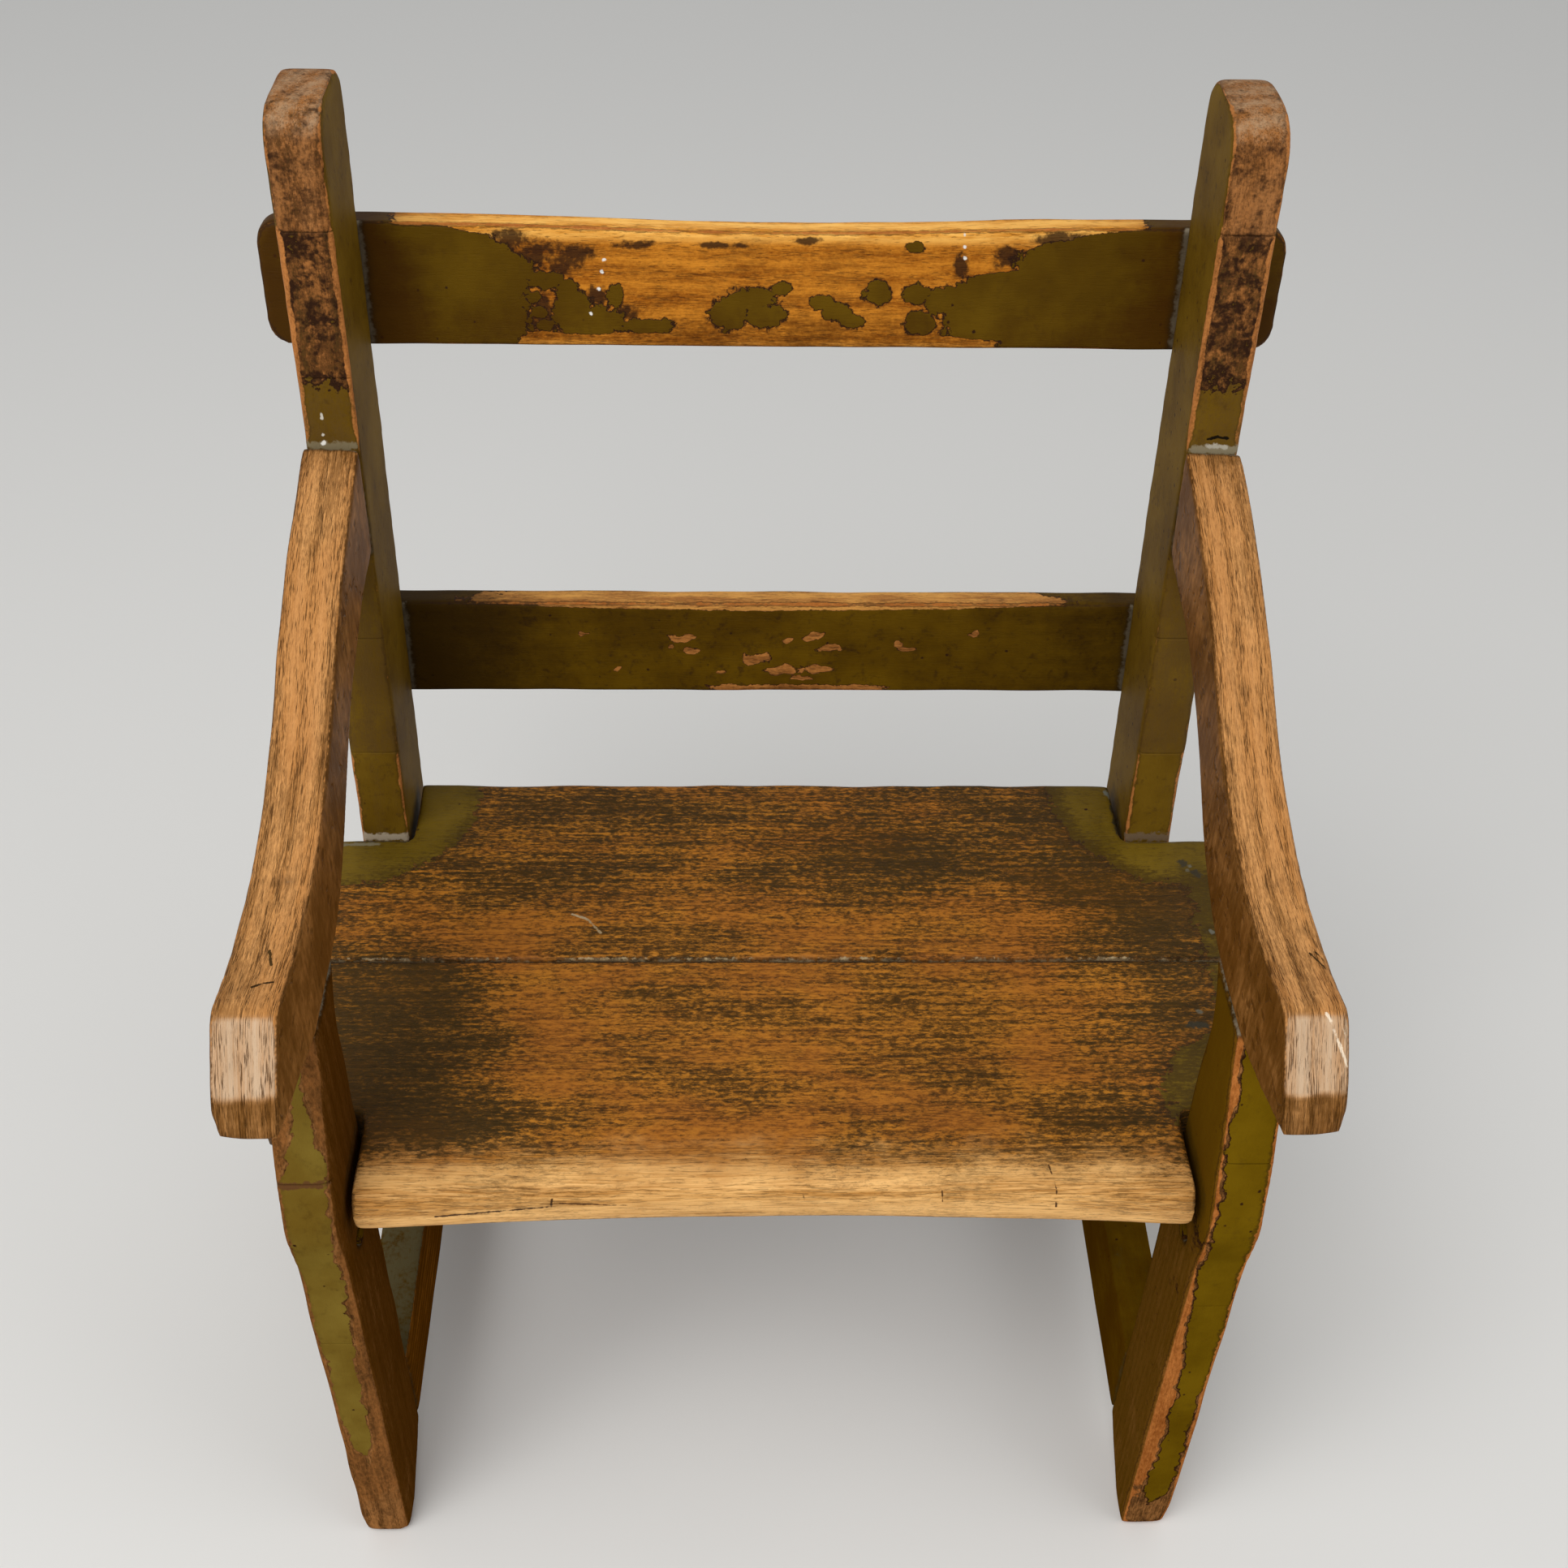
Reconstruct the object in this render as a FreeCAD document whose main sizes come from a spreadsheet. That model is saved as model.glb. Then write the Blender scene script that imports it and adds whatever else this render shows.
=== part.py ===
import FreeCAD, Part
import math
import os
import Sketcher

# Child's armchair of sawn boards. Millimetres, +Z up, the chair faces -Y.
# Depths in the sheet are measured from the front legs' front faces, heights from the floor.
# Left and right are as seen from the front. The finished parts are moved back by half the depth,
# so the origin lies on the floor under the middle of the whole chair.

sizes = {
    "inner_width": 314,            # between the inner faces of the two side frames
    "frame_thickness": 21,         # boards of posts, legs, stretchers and seat rails
    "fit_clearance": 0.1,          # on each side of a tenon, peg, dowel, wedge or screw
    "overshoot": 5,                # how far an open cut runs past the surface it starts from
    "seat_height": 236,
    "seat_thickness": 23,
    "seat_overhang": 17,           # past the outer faces of the side frames
    "seat_front": 6,               # front edge behind the legs' front faces
    "seat_joint": 126,
    "seat_rear": 233,
    "seat_bow": 5,                 # how far the front edge is worn back in the middle
    "seat_gap": 2,                 # between the boards and the legs and posts they pass
    "nose_top_round": 8,
    "nose_bottom_round": 5,
    "post_depth": 48,
    "post_setback": 200,           # front of the posts at the top of the seat
    "back_lean": 5.4,              # degrees
    "back_height": 310,            # top of the posts above the seat
    "post_front_round": 16,
    "post_rear_round": 11,
    "leg_depth": 46,
    "foot_depth": 18,
    "leg_flare": 10,               # how far the rear edge runs out under the arm
    "flare_rise": 28,
    "leg_top_setback": 19,         # front edge of the leg's top behind the foot's front edge
    "knee_reach": 4.5,             # the knee ahead of the foot's front edge
    "knee_drop": 8,                # the knee below the top of the seat
    "knee_length": 25,
    "knee_round": 30,
    "knee_base_round": 40,
    "arm_clearance": 78,           # top of the legs above the seat
    "arm_thickness": 22,
    "back_top_rise": 108,          # heights of the arm's outline above the top of the leg
    "back_under_rise": 62,
    "top_turn_rise": 67,
    "under_turn_rise": 24,
    "crest_rise": 49,
    "bend_rise": 28,
    "tip_rise": 15,
    "top_turn_depth": 115,         # depths of the arm's outline behind the front of the leg
    "under_turn_depth": 112,
    "crest_reach": 13,             # reaches of the nose ahead of the leg
    "bend_reach": 30,
    "nose_reach": 37.5,
    "top_back_radius": 318,
    "top_front_radius": 160,
    "under_back_radius": 170,
    "under_front_radius": 111,
    "arm_nose_round": 8,
    "tenon_thickness": 8,
    "leg_tenon_inset": 4,          # behind the front edge of the leg's top
    "leg_tenon_width": 28,
    "leg_tenon_sink": 0.5,         # end of the leg's tenon below the lowest part of the arm's top
    "wedge_depth": 24,
    "wedge_head": 3,
    "wedge_tip": 1,
    "arm_tenon_length": 24,
    "arm_tenon_margin": 8,
    "stretcher_low": 21,
    "stretcher_height": 46,
    "stretcher_tenon_length": 28,
    "stretcher_tenon_margin": 7,
    "seat_rail_height": 40,
    "seat_rail_tenon_length": 40,
    "seat_rail_tenon_margin": 4,
    "peg_radius": 4,
    "peg_rise": 25,                # above the underside of the seat rail
    "peg_reach": 26,               # past the shoulder of the seat rail
    "top_rail_drop": 60,           # top of the rail below the top of the posts, along the posts
    "top_rail_height": 50,
    "lower_rail_gap": 38,          # underside of the rail above the seat
    "lower_rail_height": 46,
    "back_rail_overhang": 19,      # past the outer faces of the posts
    "back_rail_thickness": 12,
    "back_rail_round": 9,
    "dowel_radius": 4,
    "dowel_length": 44,
    "dowel_spacing": 110,
    "screw_length": 38,
    "screw_radius": 2.3,
    "screw_tip": 7,
    "screw_point_radius": 0.5,
    "head_radius": 4.6,
    "head_height": 3,
    "slot_width": 1.2,
    "slot_depth": 1.1,
    "rail_screw_spacing": 26,
    "seat_screw_offset": 38,       # from the joint of the seat boards
    "seat_screw_recess": 18,       # depth of the head inside the seat rail
}

doc = FreeCAD.newDocument("child_armchair")
sheet = doc.addObject("Spreadsheet::Sheet", "dim")
for row, (name, size) in enumerate(sizes.items(), 1):
    sheet.set(f"A{row}", name)
    sheet.set(f"B{row}", str(size))
    sheet.setAlias(f"B{row}", name)
doc.recompute()

# Places that several pieces share
seat_under = "(dim.seat_height - dim.seat_thickness)"
seat_rail_low = f"({seat_under} - dim.seat_rail_height)"
stretcher_top = "(dim.stretcher_low + dim.stretcher_height)"
leg_top = "(dim.seat_height + dim.arm_clearance)"
post_top = "(dim.seat_height + dim.back_height)"
top_rail_low = f"({post_top} - (dim.top_rail_drop + dim.top_rail_height) * cos(dim.back_lean))"
lower_rail_low = "(dim.seat_height + dim.lower_rail_gap)"
cheek = "((dim.frame_thickness - dim.tenon_thickness) / 2)"
frame_middle = "((dim.inner_width + dim.frame_thickness) / 2)"


def post_front(height):
    return f"(dim.post_setback + ({height} - dim.seat_height) * tan(dim.back_lean))"


def post_rear(height):
    return f"({post_front(height)} + dim.post_depth)"


def rail_spot(low, along, out):
    # a spot on a leaning back rail: along its height and out from its front face
    depth = f"({post_rear(low)} + {along} * sin(dim.back_lean) + {out} * cos(dim.back_lean))"
    height = f"({low} + {along} * cos(dim.back_lean) - {out} * sin(dim.back_lean))"
    return depth, height


rear_most = rail_spot(top_rail_low, "dim.top_rail_height", "dim.back_rail_thickness")[0]
middle_depth = f"(({rear_most} - dim.nose_reach) / 2)"

# Lowest height of the arm's top, on the hollow arc between the turn and the crest
hollow_run = "(dim.top_turn_depth + dim.crest_reach)"
hollow_chord = f"sqrt({hollow_run} ^ 2 + (dim.top_turn_rise - dim.crest_rise) ^ 2)"
hollow_offset = f"sqrt(dim.top_front_radius ^ 2 - ({hollow_chord}) ^ 2 / 4)"
arm_low = (f"({leg_top} + (dim.top_turn_rise + dim.crest_rise) / 2"
           f" + {hollow_offset} * {hollow_run} / {hollow_chord} - dim.top_front_radius)")
leg_tenon_top = f"({arm_low} - dim.leg_tenon_sink)"


def number(expression):
    return float(sheet.evalExpression(expression))


def new_body(label, x="0", y=f"-{middle_depth}", z="0"):
    body = doc.addObject("PartDesign::Body", label)
    body.Label = label
    for axis, place in zip("xyz", (x, y, z)):
        body.setExpression(f"Placement.Base.{axis}", place)
    return body


def new_sketch(body, name, role, lift="0"):
    sketch = body.newObject("Sketcher::SketchObject", f"{body.Name}_{name}_sketch")
    plane = next(item for item in body.Origin.OriginFeatures if item.Role == role)
    sketch.AttachmentSupport = (plane, [""])
    sketch.MapMode = "FlatFace"
    sketch.setExpression("AttachmentOffset.Base.z", lift)
    return sketch


def hold(sketch, constraint, expression):
    index = sketch.addConstraint(constraint)
    sketch.setExpression(f"Constraints[{index}]", expression)


def hold_point(sketch, edge, end, across, up):
    hold(sketch, Sketcher.Constraint("DistanceX", -1, 1, edge, end, number(across)), across)
    hold(sketch, Sketcher.Constraint("DistanceY", -1, 1, edge, end, number(up)), up)


def outline(sketch, corners):
    # A corner is (across, up), or (across, up, radius, side) when the edge that leaves it is an arc
    # whose centre lies on its left (1) or right (-1).
    spots = [FreeCAD.Vector(number(corner[0]), number(corner[1]), 0) for corner in corners]
    ends = []
    for index, corner in enumerate(corners):
        start, end = spots[index], spots[(index + 1) % len(spots)]
        if len(corner) == 2:
            sketch.addGeometry(Part.LineSegment(start, end))
        else:
            radius = number(corner[2])
            chord = end - start
            inward = FreeCAD.Vector(-chord.y, chord.x, 0).normalize() * corner[3]
            offset = math.sqrt(radius ** 2 - chord.Length ** 2 / 4)
            sketch.addGeometry(Part.Arc(start, (start + end) / 2 + inward * (offset - radius), end))
        first, last = sketch.getPoint(index, 1), sketch.getPoint(index, 2)
        kept = first.distanceToPoint(start) < last.distanceToPoint(start)
        ends.append((1, 2) if kept else (2, 1))
    for index in range(len(corners)):
        after = (index + 1) % len(corners)
        joined = Sketcher.Constraint("Coincident", index, ends[index][1], after, ends[after][0])
        sketch.addConstraint(joined)
    for index, corner in enumerate(corners):
        hold_point(sketch, index, ends[index][0], corner[0], corner[1])
        if len(corner) > 2:
            hold(sketch, Sketcher.Constraint("Radius", index, number(corner[2])), corner[2])
    return sketch


def circle(sketch, across, up, radius):
    centre = FreeCAD.Vector(number(across), number(up), 0)
    sketch.addGeometry(Part.Circle(centre, FreeCAD.Vector(0, 0, 1), number(radius)))
    hold_point(sketch, 0, 3, across, up)
    hold(sketch, Sketcher.Constraint("Radius", 0, number(radius)), radius)
    return sketch


def rectangle(low_across, high_across, low_up, high_up):
    return [(low_across, low_up), (high_across, low_up), (high_across, high_up), (low_across, high_up)]


def add(body, name, sketch, length, reverse=False):
    pad = body.newObject("PartDesign::Pad", f"{body.Name}_{name}")
    pad.Profile = sketch
    pad.setExpression("Length", length)
    pad.Reversed = reverse
    doc.recompute()
    return pad


def cut(body, name, sketch, length, reverse=False):
    before = body.Shape.Volume
    pocket = body.newObject("PartDesign::Pocket", f"{body.Name}_{name}")
    pocket.Profile = sketch
    pocket.setExpression("Length", length)
    pocket.Reversed = reverse
    doc.recompute()
    if body.Shape.Volume > before - 1e-3:
        raise RuntimeError(f"{pocket.Name} cuts nothing")
    return pocket


def add_side(body, side, name, corners, start="0", thickness="dim.frame_thickness"):
    # pads an outline in the plane of a side frame, outward from a depth behind the inner face
    sketch = new_sketch(body, name, "YZ_Plane", f"{side} * {start}")
    return add(body, name, outline(sketch, corners), thickness, side < 0)


def cut_side(body, side, name, corners):
    # cuts a slot for a tenon in the plane of a side frame
    sketch = new_sketch(body, name, "YZ_Plane", f"{side} * ({cheek} - dim.fit_clearance)")
    outline(sketch, corners)
    return cut(body, name, sketch, "dim.tenon_thickness + 2 * dim.fit_clearance", side > 0)


def bore_side(body, side, name, depth, height):
    sketch = circle(new_sketch(body, name, "YZ_Plane"), depth, height, "dim.peg_radius + dim.fit_clearance")
    return cut(body, name, sketch, "dim.frame_thickness", side > 0)


def soften(body, name, radius, chosen):
    base = body.Tip
    edges = [f"Edge{index}" for index, edge in enumerate(base.Shape.Edges, 1) if chosen(edge)]
    fillet = body.newObject("PartDesign::Fillet", f"{body.Name}_{name}")
    fillet.Base = (base, edges)
    fillet.setExpression("Radius", radius)
    doc.recompute()
    return fillet


def runs_across(edge, depth, height):
    # whether an edge runs along X through the given depth and height
    box = edge.BoundBox
    flat = box.YLength < 1e-6 and box.ZLength < 1e-6
    return flat and abs(box.YMin - number(depth)) < 1e-3 and abs(box.ZMin - number(height)) < 1e-3


def gathered(label, pieces):
    group = doc.addObject("Part::Compound", label)
    group.Label = label
    group.Links = pieces
    return group


def drilled(blank, drills):
    # the drilled piece takes over the label of its blank
    label = blank.Label
    blank.Label = f"{label} blank"
    piece = doc.addObject("Part::Cut", f"{label}_drilled")
    piece.Label = label
    piece.Base = blank
    piece.Tool = gathered(f"{label}_drills", drills)
    doc.recompute()
    return piece


def side_frame_place(side):
    return f"{side} * dim.inner_width / 2"


def screw(label, place, turn):
    # a countersunk screw with its head's top at the place, turned about X
    body = new_body(label, *place)
    profile = [("0", "0"), ("0", "-dim.screw_length"), ("dim.screw_point_radius", "-dim.screw_length"),
               ("dim.screw_radius", "dim.screw_tip - dim.screw_length"),
               ("dim.screw_radius", "-dim.head_height"), ("dim.head_radius", "0")]
    spin(body, profile, turn)
    slot = rectangle("-dim.head_radius", "dim.head_radius", "-dim.slot_width / 2", "dim.slot_width / 2")
    cut(body, "slot", outline(new_sketch(body, "slot", "XY_Plane"), slot), "dim.slot_depth")
    return body


def screw_drill(label, place, turn, recess):
    # the room that a screw needs, open for the recess above its head
    body = new_body(label, *place)
    shank = "(dim.screw_radius + dim.fit_clearance)"
    head = "(dim.head_radius + dim.fit_clearance)"
    bottom = "-(dim.screw_length + dim.fit_clearance)"
    spin(body, [("0", recess), ("0", bottom), (shank, bottom), (shank, "-dim.head_height"),
                (head, "0"), (head, recess)], turn)
    return body


def spin(body, profile, turn):
    sketch = outline(new_sketch(body, "profile", "XZ_Plane"), profile)
    whole = body.newObject("PartDesign::Revolution", f"{body.Name}_turned")
    whole.Profile = sketch
    whole.ReferenceAxis = (sketch, ["V_Axis"])
    whole.Angle = 360
    body.Placement.Rotation = FreeCAD.Rotation(FreeCAD.Vector(1, 0, 0), number(turn))
    body.setExpression("Placement.Rotation.Angle", f"({turn}) * 1 deg")
    doc.recompute()


def dowel(label, across, extra):
    pin = doc.addObject("Part::Cylinder", label)
    pin.setExpression("Radius", f"dim.dowel_radius + {extra}")
    pin.setExpression("Height", f"dim.dowel_length + 2 * {extra}")
    pin.Placement.Rotation = FreeCAD.Rotation(FreeCAD.Vector(1, 0, 0), -90)
    pin.setExpression("Placement.Base.x", across)
    pin.setExpression("Placement.Base.y",
                      f"dim.seat_joint - dim.dowel_length / 2 - {extra} - {middle_depth}")
    pin.setExpression("Placement.Base.z", "dim.seat_height - dim.seat_thickness / 2")
    return pin


sides = {"left": -1, "right": 1}
finished = []

# Screws of the back rails, two at each end, and the drills that make room for them
rails = {
    "top": (top_rail_low, "dim.top_rail_height"),
    "lower": (lower_rail_low, "dim.lower_rail_height"),
}
rail_drills = {}
for rail, (low, height) in rails.items():
    fitted = []
    for hand, side in sides.items():
        for step in (-1, 1):
            along = f"({height} / 2 + {step} * dim.rail_screw_spacing / 2)"
            depth, up = rail_spot(low, along, "dim.back_rail_thickness")
            place = (f"{side} * {frame_middle}", f"{depth} - {middle_depth}", up)
            turn = "-90 - dim.back_lean"
            tag = f"{rail}_{hand}_{'low' if step < 0 else 'high'}"
            fitted.append(screw(f"screw_{tag}", place, turn))
            drill = screw_drill(f"drill_{tag}", place, turn, "dim.overshoot")
            rail_drills.setdefault((rail, hand), []).append(drill)
    finished.append(gathered(f"{rail}_rail_screws", fitted))

# Screws of the seat, one near each end of each board, driven up through the seat rails
seat_drills = {}
fitted = []
for hand, side in sides.items():
    for board, step in (("front", -1), ("rear", 1)):
        place = (f"{side} * {frame_middle}",
                 f"dim.seat_joint + {step} * dim.seat_screw_offset - {middle_depth}",
                 f"{seat_rail_low} + dim.seat_screw_recess")
        fitted.append(screw(f"screw_seat_{hand}_{board}", place, "180"))
        drill = screw_drill(f"drill_seat_{hand}_{board}", place, "180",
                            "dim.seat_screw_recess + dim.overshoot")
        seat_drills[hand, board] = drill
finished.append(gathered("seat_screws", fitted))

# The two side frames
peg_height = f"({seat_rail_low} + dim.peg_rise)"
leg_peg_depth = "(dim.leg_depth - dim.peg_reach)"
post_peg_depth = f"({post_front(peg_height)} + dim.peg_reach)"
leg_tenon_front = "(dim.leg_top_setback + dim.leg_tenon_inset)"
leg_tenon_rear = f"({leg_tenon_front} + dim.leg_tenon_width)"
tenon_middle = f"({leg_tenon_front} + dim.leg_tenon_width / 2)"
members = {
    "side_stretcher": ("dim.stretcher_low", stretcher_top,
                       "dim.stretcher_tenon_margin", "dim.stretcher_tenon_length"),
    "seat_rail": (seat_rail_low, seat_under,
                  "dim.seat_rail_tenon_margin", "dim.seat_rail_tenon_length"),
}
arm_tenon_low = f"({leg_top} + dim.back_under_rise + dim.arm_tenon_margin)"
arm_tenon_high = f"({leg_top} + dim.back_top_rise - dim.arm_tenon_margin)"
arm_tenon_end = f"({post_front(arm_tenon_low)} + dim.arm_tenon_length)"
pegs = []
wedges = []


def wedge_outline(extra):
    foot = f"({leg_tenon_top} - dim.wedge_depth - {extra})"
    half_tip = f"(dim.wedge_tip / 2 + {extra})"
    half_head = f"(dim.wedge_head / 2 + {extra})"
    return [(f"{tenon_middle} - {half_tip}", foot), (f"{tenon_middle} + {half_tip}", foot),
            (f"{tenon_middle} + {half_head}", leg_tenon_top),
            (f"{tenon_middle} - {half_head}", leg_tenon_top)]


for hand, side in sides.items():
    place = side_frame_place(side)

    # Stretcher and seat rail, with a tenon at each end
    for member, (low, high, margin, length) in members.items():
        body = new_body(f"{member}_{hand}", place)
        add_side(body, side, "board", [("dim.leg_depth", low), (post_front(low), low),
                                       (post_front(high), high), ("dim.leg_depth", high)])
        add_side(body, side, "tenons",
                 rectangle(f"dim.leg_depth - {length}", f"{post_front(low)} + {length}",
                           f"{low} + {margin}", f"{high} - {margin}"), cheek, "dim.tenon_thickness")
        if member == "seat_rail":
            bore_side(body, side, "leg_peg", leg_peg_depth, peg_height)
            bore_side(body, side, "post_peg", post_peg_depth, peg_height)
            body = drilled(body, [seat_drills[hand, "front"], seat_drills[hand, "rear"]])
        finished.append(body)

    # Front leg, with a wedged tenon through the arm
    leg = new_body(f"front_leg_{hand}", place)
    knee_height = "(dim.seat_height - dim.knee_drop)"
    knee = ("-dim.knee_reach", knee_height)
    knee_base = ("0", f"{knee_height} - dim.knee_length")
    flare_radius = "((dim.flare_rise ^ 2 + dim.leg_flare ^ 2) / (2 * dim.leg_flare))"
    add_side(leg, side, "board",
             [("0", "0"), ("dim.foot_depth", "0"), ("dim.leg_depth", "dim.stretcher_low"),
              ("dim.leg_depth", f"{leg_top} - dim.flare_rise", flare_radius, -1),
              ("dim.leg_depth + dim.leg_flare", leg_top), ("dim.leg_top_setback", leg_top),
              knee, knee_base])
    soften(leg, "knee", "dim.knee_round", lambda edge: runs_across(edge, *knee))
    soften(leg, "knee_base", "dim.knee_base_round", lambda edge: runs_across(edge, *knee_base))
    add_side(leg, side, "tenon",
             rectangle(leg_tenon_front, leg_tenon_rear,
                       f"{leg_top} - dim.overshoot", leg_tenon_top), cheek, "dim.tenon_thickness")
    for member, (low, high, margin, length) in members.items():
        cut_side(leg, side, f"{member}_mortise",
                 rectangle(f"dim.leg_depth - {length} - dim.fit_clearance", "dim.leg_depth + dim.overshoot",
                           f"{low} + {margin} - dim.fit_clearance",
                           f"{high} - {margin} + dim.fit_clearance"))
    bore_side(leg, side, "peg_hole", leg_peg_depth, peg_height)
    cut_side(leg, side, "kerf", wedge_outline("dim.fit_clearance"))
    finished.append(leg)

    wedge = new_body(f"tenon_wedge_{hand}", place)
    add_side(wedge, side, "wedge", wedge_outline("0"), cheek, "dim.tenon_thickness")
    wedges.append(wedge)

    # Arm, sawn in a double curve, tenoned into the post
    arm = new_body(f"arm_{hand}", place)
    back_under = f"({leg_top} + dim.back_under_rise)"
    back_top = f"({leg_top} + dim.back_top_rise)"
    crest = ("-dim.crest_reach", f"{leg_top} + dim.crest_rise")
    bend = ("-dim.bend_reach", f"{leg_top} + dim.bend_rise")
    add_side(arm, side, "board",
             [("dim.leg_top_setback", leg_top),
              ("dim.leg_depth + dim.leg_flare", leg_top, "dim.under_front_radius", 1),
              ("dim.under_turn_depth", f"{leg_top} + dim.under_turn_rise", "dim.under_back_radius", -1),
              (post_front(back_under), back_under),
              (post_front(back_top), back_top, "dim.top_back_radius", 1),
              ("dim.top_turn_depth", f"{leg_top} + dim.top_turn_rise", "dim.top_front_radius", -1),
              crest, bend, ("-dim.nose_reach", f"{leg_top} + dim.tip_rise")], "0", "dim.arm_thickness")
    soften(arm, "nose", "dim.arm_nose_round",
           lambda edge: runs_across(edge, *crest) or runs_across(edge, *bend))
    add_side(arm, side, "tenon",
             rectangle(f"{post_front(arm_tenon_low)} - dim.arm_tenon_margin", arm_tenon_end,
                       arm_tenon_low, arm_tenon_high), cheek, "dim.tenon_thickness")
    cut_side(arm, side, "leg_mortise",
             rectangle(f"{leg_tenon_front} - dim.fit_clearance", f"{leg_tenon_rear} + dim.fit_clearance",
                       f"{leg_top} - dim.overshoot", f"{leg_top} + dim.back_top_rise"))
    finished.append(arm)

    # Back post, with mortises in front and screw holes behind
    post = new_body(f"back_post_{hand}", place)
    top_front = (post_front(post_top), post_top)
    top_rear = (post_rear(post_top), post_top)
    add_side(post, side, "board", [(post_front("0"), "0"), (post_rear("0"), "0"), top_rear, top_front])
    soften(post, "front_round", "dim.post_front_round", lambda edge: runs_across(edge, *top_front))
    soften(post, "rear_round", "dim.post_rear_round", lambda edge: runs_across(edge, *top_rear))
    for member, (low, high, margin, length) in members.items():
        cut_side(post, side, f"{member}_mortise",
                 rectangle(f"{post_front(low)} - dim.overshoot",
                           f"{post_front(low)} + {length} + dim.fit_clearance",
                           f"{low} + {margin} - dim.fit_clearance",
                           f"{high} - {margin} + dim.fit_clearance"))
    cut_side(post, side, "arm_mortise",
             rectangle(f"{post_front(arm_tenon_low)} - dim.overshoot",
                       f"{arm_tenon_end} + dim.fit_clearance",
                       f"{arm_tenon_low} - dim.fit_clearance", f"{arm_tenon_high} + dim.fit_clearance"))
    bore_side(post, side, "peg_hole", post_peg_depth, peg_height)
    finished.append(drilled(post, rail_drills["top", hand] + rail_drills["lower", hand]))

    # Pegs through the seat rail's tenons, flush with both faces
    for spot, depth in (("leg", leg_peg_depth), ("post", post_peg_depth)):
        peg = new_body(f"peg_{spot}_{hand}", place)
        sketch = circle(new_sketch(peg, "end", "YZ_Plane"), depth, peg_height, "dim.peg_radius")
        add(peg, "pin", sketch, "dim.frame_thickness", side < 0)
        pegs.append(peg)

finished.append(gathered("seat_rail_pegs", pegs))
finished.append(gathered("tenon_wedges", wedges))

# Seat boards, cut round the legs and posts and dowelled together
inner_half = "(dim.inner_width / 2 - dim.seat_gap)"
outer_half = "(dim.inner_width / 2 + dim.frame_thickness + dim.seat_overhang)"
ear_front = "(dim.leg_depth + dim.seat_gap)"
ear_rear = f"({post_front(seat_under)} - dim.seat_gap / 2)"
bow_radius = f"(({inner_half} ^ 2 + dim.seat_bow ^ 2) / (2 * dim.seat_bow))"
board_outlines = {
    "front": [(f"-{inner_half}", "dim.seat_front", bow_radius, -1), (inner_half, "dim.seat_front"),
              (inner_half, ear_front), (outer_half, ear_front), (outer_half, "dim.seat_joint"),
              (f"-{outer_half}", "dim.seat_joint"), (f"-{outer_half}", ear_front),
              (f"-{inner_half}", ear_front)],
    "rear": [(f"-{outer_half}", "dim.seat_joint"), (outer_half, "dim.seat_joint"), (outer_half, ear_rear),
             (inner_half, ear_rear), (inner_half, "dim.seat_rear"), (f"-{inner_half}", "dim.seat_rear"),
             (f"-{inner_half}", ear_rear), (f"-{outer_half}", ear_rear)],
}
dowel_places = [f"{step} * dim.dowel_spacing" for step in (-1, 0, 1)]
dowel_drills = [dowel(f"dowel_drill_{index}", across, "dim.fit_clearance")
                for index, across in enumerate(dowel_places)]
for board, corners in board_outlines.items():
    body = new_body(f"seat_{board}_board")
    sketch = new_sketch(body, "board", "XY_Plane", seat_under)
    add(body, "board", outline(sketch, corners), "dim.seat_thickness")
    if board == "front":
        for name, height in (("top", "dim.seat_height"), ("bottom", seat_under)):
            soften(body, f"{name}_nosing", f"dim.nose_{name}_round",
                   lambda edge: edge.Curve.TypeId == "Part::GeomCircle" and edge.BoundBox.ZLength < 1e-6
                   and abs(edge.BoundBox.ZMin - number(height)) < 1e-3)
    finished.append(drilled(body, dowel_drills + [seat_drills[hand, board] for hand in sides]))
dowels = [dowel(f"dowel_{index}", across, "0") for index, across in enumerate(dowel_places)]
finished.append(gathered("seat_dowels", dowels))

# Back rails, planted on the rear edges of the posts
corner = "dim.back_rail_round"
half_length = "(dim.inner_width / 2 + dim.frame_thickness + dim.back_rail_overhang)"
for rail, (low, height) in rails.items():
    body = new_body(f"{rail}_back_rail", "0", f"{post_rear(low)} - {middle_depth}", low)
    body.Placement.Rotation = FreeCAD.Rotation(FreeCAD.Vector(1, 0, 0), -number("dim.back_lean"))
    body.setExpression("Placement.Rotation.Angle", "-dim.back_lean * 1 deg")
    rounded = [(f"-{half_length} + {corner}", "0"), (f"{half_length} - {corner}", "0", corner, 1),
               (half_length, corner), (half_length, f"{height} - {corner}", corner, 1),
               (f"{half_length} - {corner}", height), (f"-{half_length} + {corner}", height, corner, 1),
               (f"-{half_length}", f"{height} - {corner}"), (f"-{half_length}", corner, corner, 1)]
    sketch = new_sketch(body, "board", "XZ_Plane")
    add(body, "board", outline(sketch, rounded), "dim.back_rail_thickness", True)
    finished.append(drilled(body, rail_drills[rail, "left"] + rail_drills[rail, "right"]))

doc.recompute()

for item in doc.Objects:
    if "Invalid" in item.State or "Error" in item.State:
        raise RuntimeError(f"{item.Name} did not build")
os.makedirs("parts", exist_ok=True)
for item in finished:
    if item.Shape.isNull() or not item.Shape.isValid():
        raise RuntimeError(f"{item.Label} has no sound shape")
    item.Shape.exportStep(f"parts/{item.Label}.step")
    print(item.Label, len(item.Shape.Solids), round(item.Shape.Volume))
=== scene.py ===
import math
import bmesh
import bpy
import numpy as np
from mathutils import Matrix, Vector, noise
from mathutils.bvhtree import BVHTree


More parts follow.
